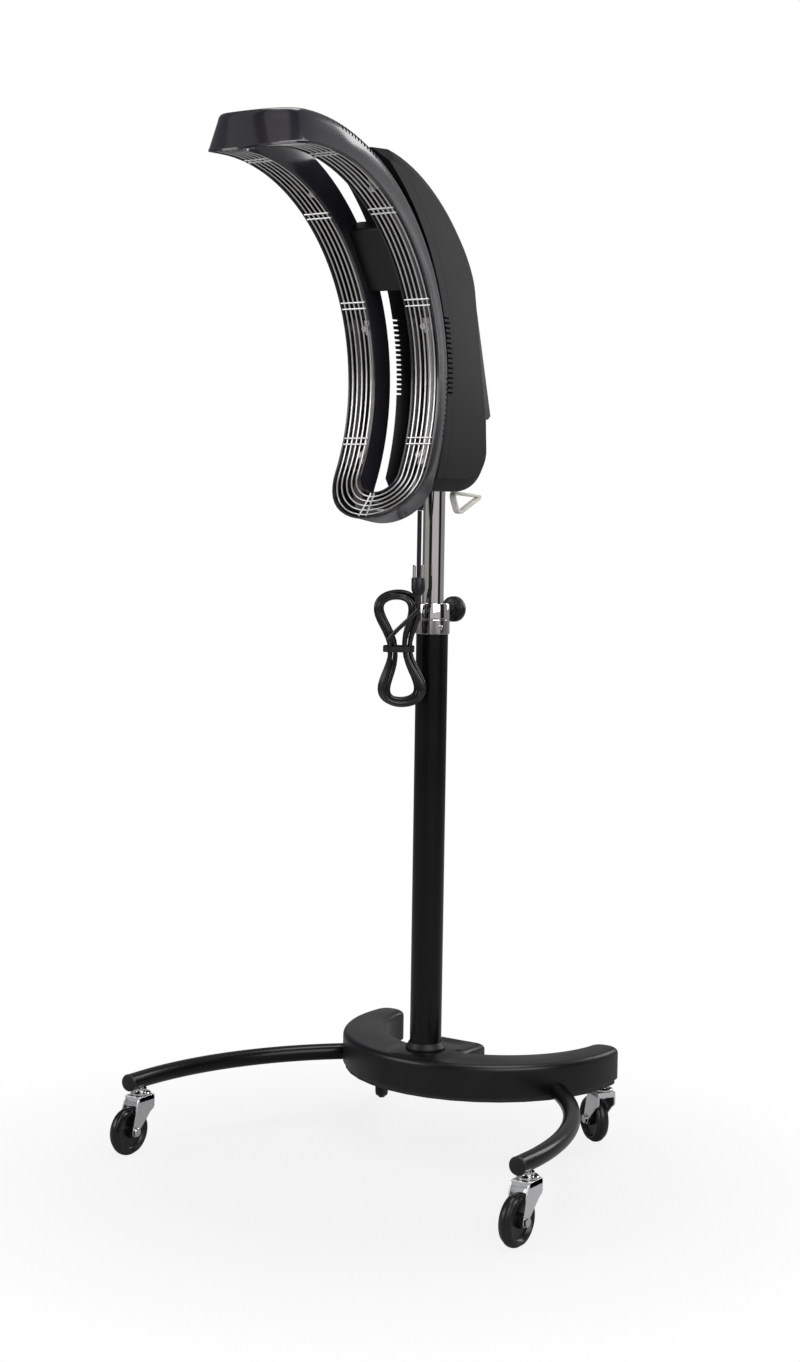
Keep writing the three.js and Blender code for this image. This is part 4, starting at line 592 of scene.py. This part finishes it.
# Vents and lamps are placed in degrees above level, and cross wires in twelfths of an arm
LOOP_VENTS, VENT_STARTS, VENT_STEP = 12, (-13, 64), 1.3
VENT_MIDDLE = ARM + HALF * 0.25
VENT_HALF = (11, 1.6)
VENT_DEPTHS = (37, 52)
GUARD_WIRES, GUARD_PITCH, GUARD_WIRE, GUARD_DEPTH = 5, 8, 1.2, 1.6
CROSS_WIRE, CROSS_DEPTH = 1.25, 0.3
CROSS_PLACES, CROSS_SHIFT, TURN_SHIFT = (1, 5, 8, 11), 4.5, 0.083
CROSS_FROM, CROSS_LONG = -20.6, 40.8
LAMPS = (("upper", (57, 86)), ("lower", (-22, 17.5)))
LAMP_X, LAMP_DEPTH, LAMP = ARM - 4.4, 23.6, 5
LAMP_SLEEVE, LAMP_POST, POST_DEPTHS = 6.9, 4.6, (20, 12, 9)
LAMP_ENDS = ((0, 0.1), (0.9, 1))


def on_arc(x, run, depth):
    angle = run / ARC
    return (x, ARC_Y + (ARC + depth) * math.cos(angle), ARC_Z + (ARC + depth) * math.sin(angle))


def arc_frame(angle):
    """Local Z runs outwards from the arc's axis, at this angle above level."""
    return at(0, ARC_Y, ARC_Z) @ spin(angle - QUARTER, "X")


def track():
    """Stations round the loop: place across, run along the arc, and the way out in both."""
    stations = []
    for side, first, last in ((1, LOW_RUN, HIGH_RUN), (-1, HIGH_RUN, LOW_RUN)):
        for k in range(ARM_STEPS):
            stations.append((side * ARM, first + (last - first) * k / ARM_STEPS, side, 0))
        for k in range(TURN_STEPS):
            angle = math.pi * k / TURN_STEPS
            out_x, out_run = side * math.cos(angle), side * math.sin(angle)
            stations.append((ARM * out_x, last + ARM * out_run, out_x, out_run))
    return stations


def on_loop(station, out, depth):
    """A place on the loop; the turns' outer walls lean in further than the arms' do."""
    x, run, out_x, out_run = station
    out -= TURN_LEAN * out_run**2 * (out + HALF) / (2 * HALF) * depth / DEPTH
    return on_arc(x + out * out_x, run + out * out_run, depth)


def around_loop(section):
    rings = [[on_loop(station, out, depth) for out, depth in section] for station in track()]
    return loft(rings, closed=True)


def outer_face(depth):
    return HALF - OUTER_LEAN * depth / DEPTH


def inner_face(depth):
    return -HALF + INNER_LEAN * depth / DEPTH


def make_shell():
    section = [
        (20.9, 0.5), (21.5, 0), (22.9, 0), (23.5, 0.7), (23.4, 3.2), (22.5, 4.2),
        (outer_face(36), 36), (outer_face(40), 40.2), (outer_face(43) - 0.4, 43.4), (6.6, 45.4), (4.4, 46),
        (-16, 46), (-18.6, 45.2), (-20, 43.4), (-20.7, 40.6), (inner_face(2), 2), (-23.4, 0.6), (-22.9, 0),
        (-21.6, 0), (-21, 0.6), (-18.5, 40), (-17.2, 43), (-15, 43.5), (4, 43.5), (6.4, 42.8), (8, 40),
    ]
    wide, high = VENT_HALF
    low, top = (ARC + depth for depth in VENT_DEPTHS)
    vents = []
    for start in VENT_STARTS:
        for k in range(LOOP_VENTS):
            tilt = arc_frame(math.radians(start + VENT_STEP * k))
            for middle in (-VENT_MIDDLE, VENT_MIDDLE):
                vents.append(moved(block((middle - wide, -high, low), (middle + wide, high, top)), tilt))
    shell = carve("loop_shell_skin", around_loop(section), [("DIFFERENCE", joined(*vents))])
    dress(shell, "loop_plastic", "loop", ["loop_shell"], sharp=28)


def make_reflector():
    sheet = [
        (outer_face(6) - 3.9, 6), (outer_face(26) - 3.9, 26), (outer_face(30) - 4.6, 31),
        (outer_face(34) - 7, 33.8), (-11, 33.8), (-15, 32.4), (inner_face(28) + 4.4, 28),
        (inner_face(6) + 3.9, 6), (inner_face(6) + 4.7, 6), (inner_face(28) + 5.2, 27.6),
        (-14.4, 31.6), (-10.8, 33), (outer_face(34) - 7.4, 33), (outer_face(30) - 5.3, 30.4),
        (outer_face(26) - 4.7, 25.8), (outer_face(6) - 4.7, 6),
    ]
    # The trough's dark metal colour is painted shade.
    build("reflector_trough", around_loop(sheet), "aluminium", "loop", ["reflector"], sharp=50)


def make_guard():
    wires = []
    for k in range(GUARD_WIRES):
        middle = GUARD_PITCH * (k - (GUARD_WIRES - 1) / 2)
        ring = []
        for n in range(8):
            angle = n * math.pi / 4
            ring.append((middle + GUARD_WIRE * math.cos(angle), GUARD_DEPTH + GUARD_WIRE * math.sin(angle)))
        wires.append(around_loop(ring))
    crosses = [
        (side * ARM, LOW_RUN + (HIGH_RUN - LOW_RUN) * twelfths / 12 + shift, side, 0)
        for twelfths in CROSS_PLACES for side in (-1, 1) for shift in (-CROSS_SHIFT, CROSS_SHIFT)
    ]
    for run, way in ((LOW_RUN, -1), (HIGH_RUN, 1)):
        for shift in (-TURN_SHIFT, TURN_SHIFT):
            out_x, out_run = math.sin(shift), way * math.cos(shift)
            crosses.append((ARM * out_x, run + ARM * out_run, out_x, out_run))
    reach = [CROSS_FROM + CROSS_LONG * k / 6 for k in range(7)]
    for station in crosses:
        wires.append(tube([on_loop(station, out, CROSS_DEPTH) for out in reach], CROSS_WIRE, 10))
    build("guard_wires", joined(*wires), "chrome", "loop", ["wire_guard"], sharp=60, skin="wire")


def on_lamp(span, x, share, depth=LAMP_DEPTH):
    first, last = span
    return on_arc(x, ARC * math.radians(first + (last - first) * share), depth)


def make_lamps():
    for word, span in LAMPS:
        for side_word, side in SIDES:
            x = side * LAMP_X
            name = f"{word}_{side_word}"
            glass = tube([on_lamp(span, x, k / 24) for k in range(25)], LAMP, 20)
            build(f"lamp_tube_{name}", glass, "quartz", "loop", [f"lamp_{name}"])
            ends = []
            for begin, stop in LAMP_ENDS:
                stretch = [on_lamp(span, x, begin + (stop - begin) * k / 4) for k in range(5)]
                ends.append(tube(stretch, LAMP_SLEEVE, 20))
                post = [on_lamp(span, x, (begin + stop) / 2, depth) for depth in POST_DEPTHS]
                ends.append(tube(post, LAMP_POST, 16))
            build(f"lamp_ends_{name}", joined(*ends), "quartz", "loop", bevel=0.6, skin="ceramic")


# Hub on the orbit axis, with heights measured out from the arc's axis
hub_frame = arc_frame((LOW + HIGH) / 2)
HUB_LEVELS = ((12, 46), (14, 48), (38, 48), (40, 47))
HUB_SHIFT, HUB_GAP = 11, 0.4
SHAFT = [
    (0, 323.3), (22, 323.3), (23, 324.2), (23, 328.4), (22, 329.3), (10, 329.3), (10, 389), (0, 389),
]
BEARING = [
    (10.4, 329.7), (21, 329.7), (22, 330.7), (22, 350.4), (28, 350.4), (29, 351.4), (29, 356.5),
    (22, 356.5), (22, 377.7), (10.4, 377.7),
]


def make_hub():
    rings = []
    for depth, long in HUB_LEVELS:
        half = ARM + inner_face(depth) - HUB_GAP
        low, high = -long - HUB_SHIFT, long - HUB_SHIFT
        corners = ((-half, low), (half, low), (half, high), (-half, high))
        rings.append([(x, y, ARC + depth) for x, y in corners])
    build("hub_cover", moved(loft(rings), hub_frame), "black_plastic", "loop", ["hub_block"], bevel=1.2)
    build("hub_shaft", moved(revolve(SHAFT, 48), hub_frame), "zinc", "loop", ["orbit_shaft"])
    bearing = moved(revolve(BEARING, 48, closed=True), hub_frame)
    build("hub_bearing", bearing, "black_plastic", "head", ["orbit_bearing"])


# Rear housing: an outline of (y, z) places, cut in front by a drum about the arc's axis
BACK_LOW, BACK_HIGH = (84, 1090), (48, 1275)
HOUSING_BOTTOM = 982
FOOT_CURVE = ((14, HOUSING_BOTTOM), (60, 986), (84, 1010), (87, 1040))
CROWN_CURVE = (BACK_HIGH, (36, 1335), (-60, 1430), (-178, 1446))
FACE = ARC + 75
UNCUT_FACE, TIP = FACE - 60, FACE + 2
TIP_ANGLE = math.radians(60)
SPLIT, SPLIT_GAP = 375, 0.15
# Half widths of the housing, each with the distance that its outline is drawn in
HALF_SECTION = ((45, 18), (44, 16.2), (31.6, 0.4), (30, 0))
HOUSING_VENTS, HOUSING_VENT_Z, HOUSING_VENT_PITCH = 16, 1175, 7
HOUSING_VENT_X, HOUSING_VENT_HALF = 41, (8, 1.4)
VENT_BEFORE, VENT_BEHIND = 10, 12
DRUM_HALF = 120
BEARING_HOLE, MAST_HOLE = (22.3, ARC, 398), (16.3, 960, 1030)
LEAST_COSINE = 0.35


def bezier(a, b, c, d, steps):
    spots = []
    for k in range(steps):
        t = k / steps
        w = ((1 - t) ** 3, 3 * t * (1 - t) ** 2, 3 * t * t * (1 - t), t**3)
        spots.append(tuple(sum(w[n] * p[axis] for n, p in enumerate((a, b, c, d))) for axis in (0, 1)))
    return spots


def housing_outline():
    bottom = math.asin((HOUSING_BOTTOM - ARC_Z) / UNCUT_FACE)
    line = [(ARC_Y + UNCUT_FACE * math.cos(bottom), HOUSING_BOTTOM)]
    line += bezier(*FOOT_CURVE, 14)
    line += [FOOT_CURVE[-1], BACK_LOW]
    line += bezier(*CROWN_CURVE, 22)
    line += [CROWN_CURVE[-1], (ARC_Y + TIP * math.cos(TIP_ANGLE), ARC_Z + TIP * math.sin(TIP_ANGLE))]
    for k in range(25):
        angle = TIP_ANGLE + (bottom - TIP_ANGLE) * k / 25
        line.append((ARC_Y + UNCUT_FACE * math.cos(angle), ARC_Z + UNCUT_FACE * math.sin(angle)))
    return line


def shrunk(line, inset):
    """The outline drawn in by the same distance all round, less at very sharp corners."""
    spots = [Vector(p) for p in line]
    inner = []
    for k, spot in enumerate(spots):
        a = (spot - spots[k - 1]).normalized()
        b = (spots[(k + 1) % len(spots)] - spot).normalized()
        normal = Vector((-(a.y + b.y), a.x + b.x)).normalized()
        lean = max(normal.dot(Vector((-a.y, a.x))), LEAST_COSINE)
        inner.append(tuple(spot + normal * (inset / lean)))
    return inner


def drum(radius):
    return moved(rod(radius, -DRUM_HALF, DRUM_HALF, 300), at(0, ARC_Y, ARC_Z) @ spin(QUARTER, "Y"))


def make_housing():
    line = housing_outline()
    left = [(-x, inset) for x, inset in HALF_SECTION]
    right = list(reversed(HALF_SECTION))
    solid = loft([[(x, y, z) for y, z in shrunk(line, inset)] for x, inset in left + right])
    wide, high = HOUSING_VENT_HALF
    vents = []
    for k in range(HOUSING_VENTS):
        z = HOUSING_VENT_Z + (k - (HOUSING_VENTS - 1) / 2) * HOUSING_VENT_PITCH
        face = ARC_Y + math.sqrt(FACE**2 - (z - ARC_Z) ** 2)
        for x in (-HOUSING_VENT_X, HOUSING_VENT_X):
            low_corner = (x - wide, face - VENT_BEFORE, z - high)
            high_corner = (x + wide, face + VENT_BEHIND, z + high)
            vents.append(block(low_corner, high_corner))
    bearing_hole = moved(rod(*BEARING_HOLE), hub_frame)
    front = carve("housing_front", solid, [
        ("DIFFERENCE", drum(FACE)), ("INTERSECT", drum(SPLIT - SPLIT_GAP)),
        ("DIFFERENCE", bearing_hole), ("DIFFERENCE", joined(*vents)),
    ])
    dress(front, "grey_plastic", "head", ["head_front_shell"], sharp=24)
    rear = carve("housing_rear", solid, [
        ("DIFFERENCE", drum(SPLIT + SPLIT_GAP)), ("DIFFERENCE", rod(*MAST_HOLE)),
    ])
    dress(rear, "grey_plastic", "head", ["head_rear_shell"], sharp=24)


# Hook: a triangular ring of strap on a peg
HOOK_CORNERS = [(46, 981), (62, 949.5), (125, 977)]
HOOK_BEND = 11
HOOK_HALF_WIDE, HOOK_HALF_THICK = 5, 2.4
HOOK_PEG = ((-3.8, 48.6, 976), (3.8, 53.4, 999))


def make_hook():
    corners = [Vector((0, *p)) for p in HOOK_CORNERS]
    path = []
    for k, corner in enumerate(corners):
        before, after = corners[k - 1], corners[(k + 1) % 3]
        a = corner + (before - corner).normalized() * HOOK_BEND
        b = corner + (after - corner).normalized() * HOOK_BEND
        path += bend(a, corner, b, [n / 10 for n in range(11)])
    rings = []
    for k, spot in enumerate(path):
        along = (path[(k + 1) % len(path)] - path[k - 1]).normalized()
        across = Vector((HOOK_HALF_WIDE, 0, 0))
        out = along.cross(Vector((1, 0, 0))) * HOOK_HALF_THICK
        rings.append([tuple(spot + across * c + out * s) for c, s in rounded_square(20, 6)])
    hook = joined(loft(rings, closed=True), block(*HOOK_PEG))
    build("cord_hook_ring", hook, "ivory", "head", ["cord_hook"], sharp=40)


# Base: a crescent with a tongue under the column, and two bent legs
BASE_OUTER, BASE_OUTER_Y = 221, 168
BASE_INNER, BASE_INNER_Y = 174, 200
BASE_END, BASE_CORNER = 208, 16
TONGUE, TONGUE_Y, TONGUE_CORNER, TONGUE_CUT = 46, 98, 6, 1.8
BASE_LOW, BASE_SHOULDER, BASE_ROUND = 102, 141, 9
EDGE_INSET, EDGE_RISE = 0.8, 1.2
MOUND = [
    (0, 142), (64, 142), (64, 149.6), (58, 150.1), (52, 150.9), (45, 152.8), (39, 154.4), (35, 155),
    (0, 155),
]
MOUND_TRIM = (130, 170)
DISH_WIDE, DISH_DEEP, DISH_FLAT = 30, 5, 0.62
DISH_SPOT, DISH_ANGLES = (0, 71, 152.6), (-1.3, -0.9, -0.5, 0, 0.5, 1.2)
LEG, LEG_X, LEG_Y, LEG_Z = 12.5, 334, -260, 107.5
LEG_ARC, LEG_STRAIGHT, LEG_STEPS = 440, 22, 48
LEG_BEND = LEG_ARC * math.radians(53)
LEG_CAP = [
    (0, -14), (10.2, -14), (10.2, 0.3), (12.6, 0.3), (12.8, 3), (12, 4.4), (10.4, 5), (0, 5),
]


def flat_arc(middle, radius, first, last, steps):
    spots = []
    for k in range(steps + 1):
        angle = first + (last - first) * k / steps
        spots.append(Vector((radius * math.cos(angle), middle + radius * math.sin(angle))))
    return spots


def crescent(inset):
    outer, inner, end = BASE_OUTER - inset, BASE_INNER + inset, BASE_END - inset
    shoulder = end - BASE_CORNER
    outer_angle = math.asin((shoulder - BASE_OUTER_Y) / outer)
    inner_angle = math.asin((shoulder - BASE_INNER_Y) / inner)
    outer_x = outer * math.cos(math.asin((end - BASE_OUTER_Y) / outer))
    inner_x = inner * math.cos(math.asin((end - BASE_INNER_Y) / inner))
    corner = min(BASE_CORNER, (outer_x - inner_x) / 2 - 1)
    tongue = TONGUE - inset
    tongue_angle = math.asin(tongue / inner) - QUARTER
    outside = flat_arc(BASE_OUTER_Y, outer, -QUARTER, outer_angle, 44)
    inside = flat_arc(BASE_INNER_Y, inner, inner_angle, tongue_angle, 26)
    eighths = [k / 8 for k in range(1, 8)]
    far, near = Vector((outer_x - corner, end)), Vector((inner_x + corner, end))
    half = outside + bend(outside[-1], Vector((outer_x, end)), far, eighths) + [far, near]
    half += bend(near, Vector((inner_x, end)), inside[0], eighths) + inside
    tip = Vector((tongue, TONGUE_Y - inset))
    for x, y in ((0, TONGUE_CORNER), (TONGUE_CUT, TONGUE_CUT), (TONGUE_CORNER, 0)):
        half.append(tip - Vector((x, y)))
    return half + [Vector((-p.x, p.y)) for p in reversed(half[1:])]


def make_cover():
    levels = [(EDGE_INSET, BASE_LOW), (0, BASE_LOW + EDGE_RISE), (0, BASE_SHOULDER)]
    for k in range(1, 7):
        angle = k * math.pi / 12
        inset = BASE_ROUND - BASE_ROUND * math.cos(angle)
        levels.append((inset, BASE_SHOULDER + BASE_ROUND * math.sin(angle)))
    rings = [[(p.x, p.y, z) for p in crescent(inset)] for inset, z in levels]
    trim = loft([[(p.x, p.y, z) for p in crescent(BASE_ROUND)] for z in MOUND_TRIM])
    lens = [(0, -DISH_DEEP)]
    for angle in DISH_ANGLES:
        lens.append((DISH_WIDE * math.cos(angle), DISH_DEEP * math.sin(angle)))
    lens.append((0, DISH_DEEP))
    dish = moved(revolve(lens, 40), at(*DISH_SPOT) @ Matrix.Diagonal((1, DISH_FLAT, 1, 1)))
    knoll = carve("knoll", revolve(MOUND, 72), [("INTERSECT", trim)])
    cover = carve("base_cover_skin", loft(rings), [("DIFFERENCE", dish)])
    both = bmesh.new()
    both.from_mesh(cover.data)
    both.from_mesh(knoll.data)
    both.to_mesh(cover.data)
    both.free()
    bpy.data.objects.remove(knoll)
    dress(cover, "gloss_black", "base", ["base_cover"], sharp=24)


def make_legs():
    for word, side in SIDES:
        path = []
        for k in range(LEG_STEPS + 1):
            run = (LEG_BEND + LEG_STRAIGHT) * k / LEG_STEPS
            angle = max(LEG_BEND - run, 0) / LEG_ARC
            x = LEG_X - LEG_ARC * (1 - math.cos(angle))
            y = LEG_Y + LEG_ARC * math.sin(angle) - max(run - LEG_BEND, 0)
            path.append((side * x, y, LEG_Z))
        build(f"leg_tube_{word}", tube(path, LEG, 32), "black_paint", "base", [f"leg_{word}"], sharp=50)
        leg_end = at(side * LEG_X, LEG_Y - LEG_STRAIGHT, LEG_Z) @ spin(QUARTER, "X")
        cap = moved(revolve(LEG_CAP, 40), leg_end)
        build(f"leg_plug_{word}", cap, "black_plastic", "base", [f"leg_cap_{word}"])


# Casters: place and heading in degrees of each, and profiles of one that stands at the origin
CASTERS = {
    "front_left": (-334, -258, 0), "front_right": (334, -258, 0),
    "rear_left": (-203, 180, 213), "rear_right": (203, 180, 236),
}
WHEEL, TRAIL = 36, 26
STEM = [
    (0, 73.6), (6.4, 73.6), (7, 74.2), (7, 76.6), (4, 76.6), (4, 85.9), (14.4, 85.9), (15, 86.5),
    (15, 88.6), (14.2, 89.5), (9.4, 90.3), (9, 91), (9, 94.7), (5, 94.7), (5, 107), (0, 107),
]
FORK_TOP = [(15, 82), (12, 85.4), (-15, 85.4), (-20, 83), (-22.5, 78)]
FORK_UNDER = [(6, 60), (13, 64), (15, 68)]
FORK_EYE = 7.5
FORK_OUT, FORK_IN = 14.5, 12
FORK_CROWN = ((-FORK_OUT, -19, 77.2), (FORK_OUT, 14.8, 85.4))
AXLE = [
    (0, -18.3), (5.4, -18.3), (6, -17.6), (6, -14.8), (4, -14.8), (4, 14.8), (6.5, 14.8), (6.5, 17.6),
    (5.6, 18.3), (0, 18.3),
]
TREAD_ROUND, TREAD_HALF = 2.6, 5.4
WHEEL_SIDE = [
    (4.4, 11), (9.4, 11), (10.4, 4.6), (24.4, 4.4), (25.4, 5.2), (27.6, 9.6), (29.4, 10), (32, 8.6),
]


def make_casters():
    eye = []
    for k in range(12, 25):
        angle = k * math.pi / 12
        eye.append((-TRAIL + FORK_EYE * math.cos(angle), WHEEL + FORK_EYE * math.sin(angle)))
    cheek = FORK_TOP + eye + FORK_UNDER
    fork = joined(
        extrude_x(cheek, -FORK_OUT, -FORK_IN), extrude_x(cheek, FORK_IN, FORK_OUT),
        block(*FORK_CROWN),
    )
    hub = at(0, -TRAIL, WHEEL) @ spin(QUARTER, "Y")
    stem = revolve(STEM, 40)
    axle = moved(revolve(AXLE, 32), hub)
    tread = []
    for k in range(-8, 9):
        angle = k * math.pi / 16
        tread.append((WHEEL - TREAD_ROUND + TREAD_ROUND * math.cos(angle), TREAD_HALF * math.sin(angle)))
    far_side = [(radius, -across) for radius, across in WHEEL_SIDE]
    near_side = list(reversed(WHEEL_SIDE))
    wheel = moved(revolve(far_side + tread + near_side, 72, closed=True), hub)
    for name, (x, y, heading) in CASTERS.items():
        spot = at(x, y, 0) @ spin(math.radians(heading), "Z")
        fork_body = f"fork_{name}"
        build(f"caster_pin_{name}", moved(stem, spot), "chrome", "base", [f"caster_stem_{name}"])
        build(
            f"caster_yoke_{name}", moved(fork, spot), "zinc", fork_body, [f"caster_fork_{name}"],
            sharp=28, bevel=0.8,
        )
        build(f"caster_bolt_{name}", moved(axle, spot), "chrome", fork_body, [f"caster_axle_{name}"])
        build(f"caster_disc_{name}", moved(wheel, spot), "tyre", f"wheel_{name}", [f"caster_wheel_{name}"])


# Column, collar, clamp and mast
COLUMN = [(21.5, 99.3), (23.5, 99.3), (23.5, 797), (22.8, 798), (21.5, 798)]
FOOT_RING = [
    (23.8, 155.3), (29.2, 155.3), (29.8, 156), (29.8, 158.4), (29, 159.6), (26.6, 162.6), (25.4, 165),
    (24.8, 165.6), (23.8, 165.6),
]
COLLAR = [
    (16.4, 798.3), (23.8, 798.3), (23.8, 774), (25, 774), (25.5, 774.6), (25.5, 794.5), (24.9, 795.2),
    (24.9, 796.6), (25.5, 797.3), (25.5, 816.8), (24.6, 818.4), (23, 819), (16.4, 819),
]
COLLAR_BOSS = [(0, 20), (9, 20), (9, 32), (8, 33), (4.4, 33), (4.4, 28), (0, 28)]
SCREW = [(0, 0), (3.4, 0), (3.4, 0.8), (2.6, 1.5), (1.2, 1.6), (1.1, 0.7), (0, 0.7)]
SCREW_SPOT, SCREW_TURN = (0, -25.3, 784), math.radians(62)
MAST = [(14, 470), (16, 470), (16, 1112), (14, 1112)]
CLAMP_Z, KNOB_Y = 808.5, 43
KNOB = [
    (4.3, 0), (9, 0), (9.5, 0.6), (10.4, 5.6), (16.6, 7.6), (18.2, 8.6), (19, 10.4), (19, 17.6), (18, 19.6),
    (15.6, 20.8), (11, 21), (0, 21),
]


def make_column():
    build("column_skin", revolve(COLUMN, 72, closed=True), "black_paint", "base", ["column_tube"])
    skirt = revolve(FOOT_RING, 72, closed=True)
    build("column_skirt", skirt, "black_plastic", "base", ["column_foot_ring"])
    boss = moved(revolve(COLLAR_BOSS, 40), at(0, 0, CLAMP_Z) @ spin(-QUARTER, "X"))
    screws = []
    for turn in (-SCREW_TURN, SCREW_TURN):
        way = spin(turn, "Z") @ at(*SCREW_SPOT) @ spin(QUARTER, "X")
        screws.append(moved(revolve(SCREW, 24), way))
    collar = joined(revolve(COLLAR, 72, closed=True), boss, *screws)
    build("collar_sleeve", collar, "chrome", "base", ["column_collar"])
    build("mast_skin", revolve(MAST, 72, closed=True), "chrome", "mast", ["mast_tube"])
    grip = moved(revolve(KNOB, 72), at(0, KNOB_Y, CLAMP_Z) @ spin(-QUARTER, "X"))
    build("clamp_grip", grip, "black_plastic", "knob", ["clamp_knob"], sharp=38, skin="gloss_black")


# Panel: its buttons, the display's rim and the lights
BACK_TILT = math.atan2(BACK_LOW[0] - BACK_HIGH[0], BACK_HIGH[1] - BACK_LOW[1])
PANEL_LONG, PANEL_THICK, PANEL_FALL = 180, 19, 15
PANEL_GAP, PANEL_START = 0.3, 2
BUTTON_SPOT, LIGHT_SPOT, DISPLAY_SPOT = 56, 70, 92
BUTTONS = {"left": -17, "middle": 0, "right": 17}
BUTTON = [(0, -4.5), (5, -4.5), (5, 1), (4.7, 1.7), (4, 2), (2.6, 1.9), (0, 1.6)]
PANEL_LIGHT = [(0, -0.4), (1.5, -0.4), (1.5, 0.4), (0.9, 0.8), (0, 0.9)]
RIM_RINGS = ((21.4, 12.4, -0.2), (23, 14, -0.2), (23, 14, 0.7), (21.4, 12.4, 0.7))


def on_panel(along):
    lift = PANEL_GAP + PANEL_THICK - PANEL_FALL * along / PANEL_LONG
    back = at(0, *BACK_LOW) @ spin(BACK_TILT, "X")
    return back @ at(0, lift, PANEL_START + along) @ spin(math.atan2(PANEL_FALL, PANEL_LONG), "X")


def make_panel():
    face_up = spin(-QUARTER, "X")
    for word, x in BUTTONS.items():
        cap = moved(revolve(BUTTON, 40), on_panel(BUTTON_SPOT) @ at(x, 0, 0) @ face_up)
        body = f"button_{word}"
        build(f"push_{word}", cap, "black_plastic", body, [body], skin="grey_plastic")
    rings = []
    for wide, high, up in RIM_RINGS:
        rings.append([(-wide, up, -high), (wide, up, -high), (wide, up, high), (-wide, up, high)])
    rim = moved(loft(rings, closed=True), on_panel(DISPLAY_SPOT))
    build("display_rim", rim, "black_plastic", "head", bevel=0.3, skin="gloss_black")
    lights = []
    for x in BUTTONS.values():
        lights.append(moved(revolve(PANEL_LIGHT, 20), on_panel(LIGHT_SPOT) @ at(x, 0, 0) @ face_up))
    build("panel_lights", joined(*lights), "ivory", "head")


bpy.context.scene.view_settings.view_transform = "Standard"
make_camera()
make_light()
make_floor()
make_cord()
make_shell()
make_reflector()
make_guard()
make_lamps()
make_hub()
make_housing()
make_hook()
make_cover()
make_legs()
make_casters()
make_column()
make_panel()

# What stays as it was made in the frame takes its skin from its slot.
for part in frame["record"]["subparts"]:
    for holder in frame["nodes"][part["node"]].material_slots:
        holder.material = skins[part["material_slot"]]
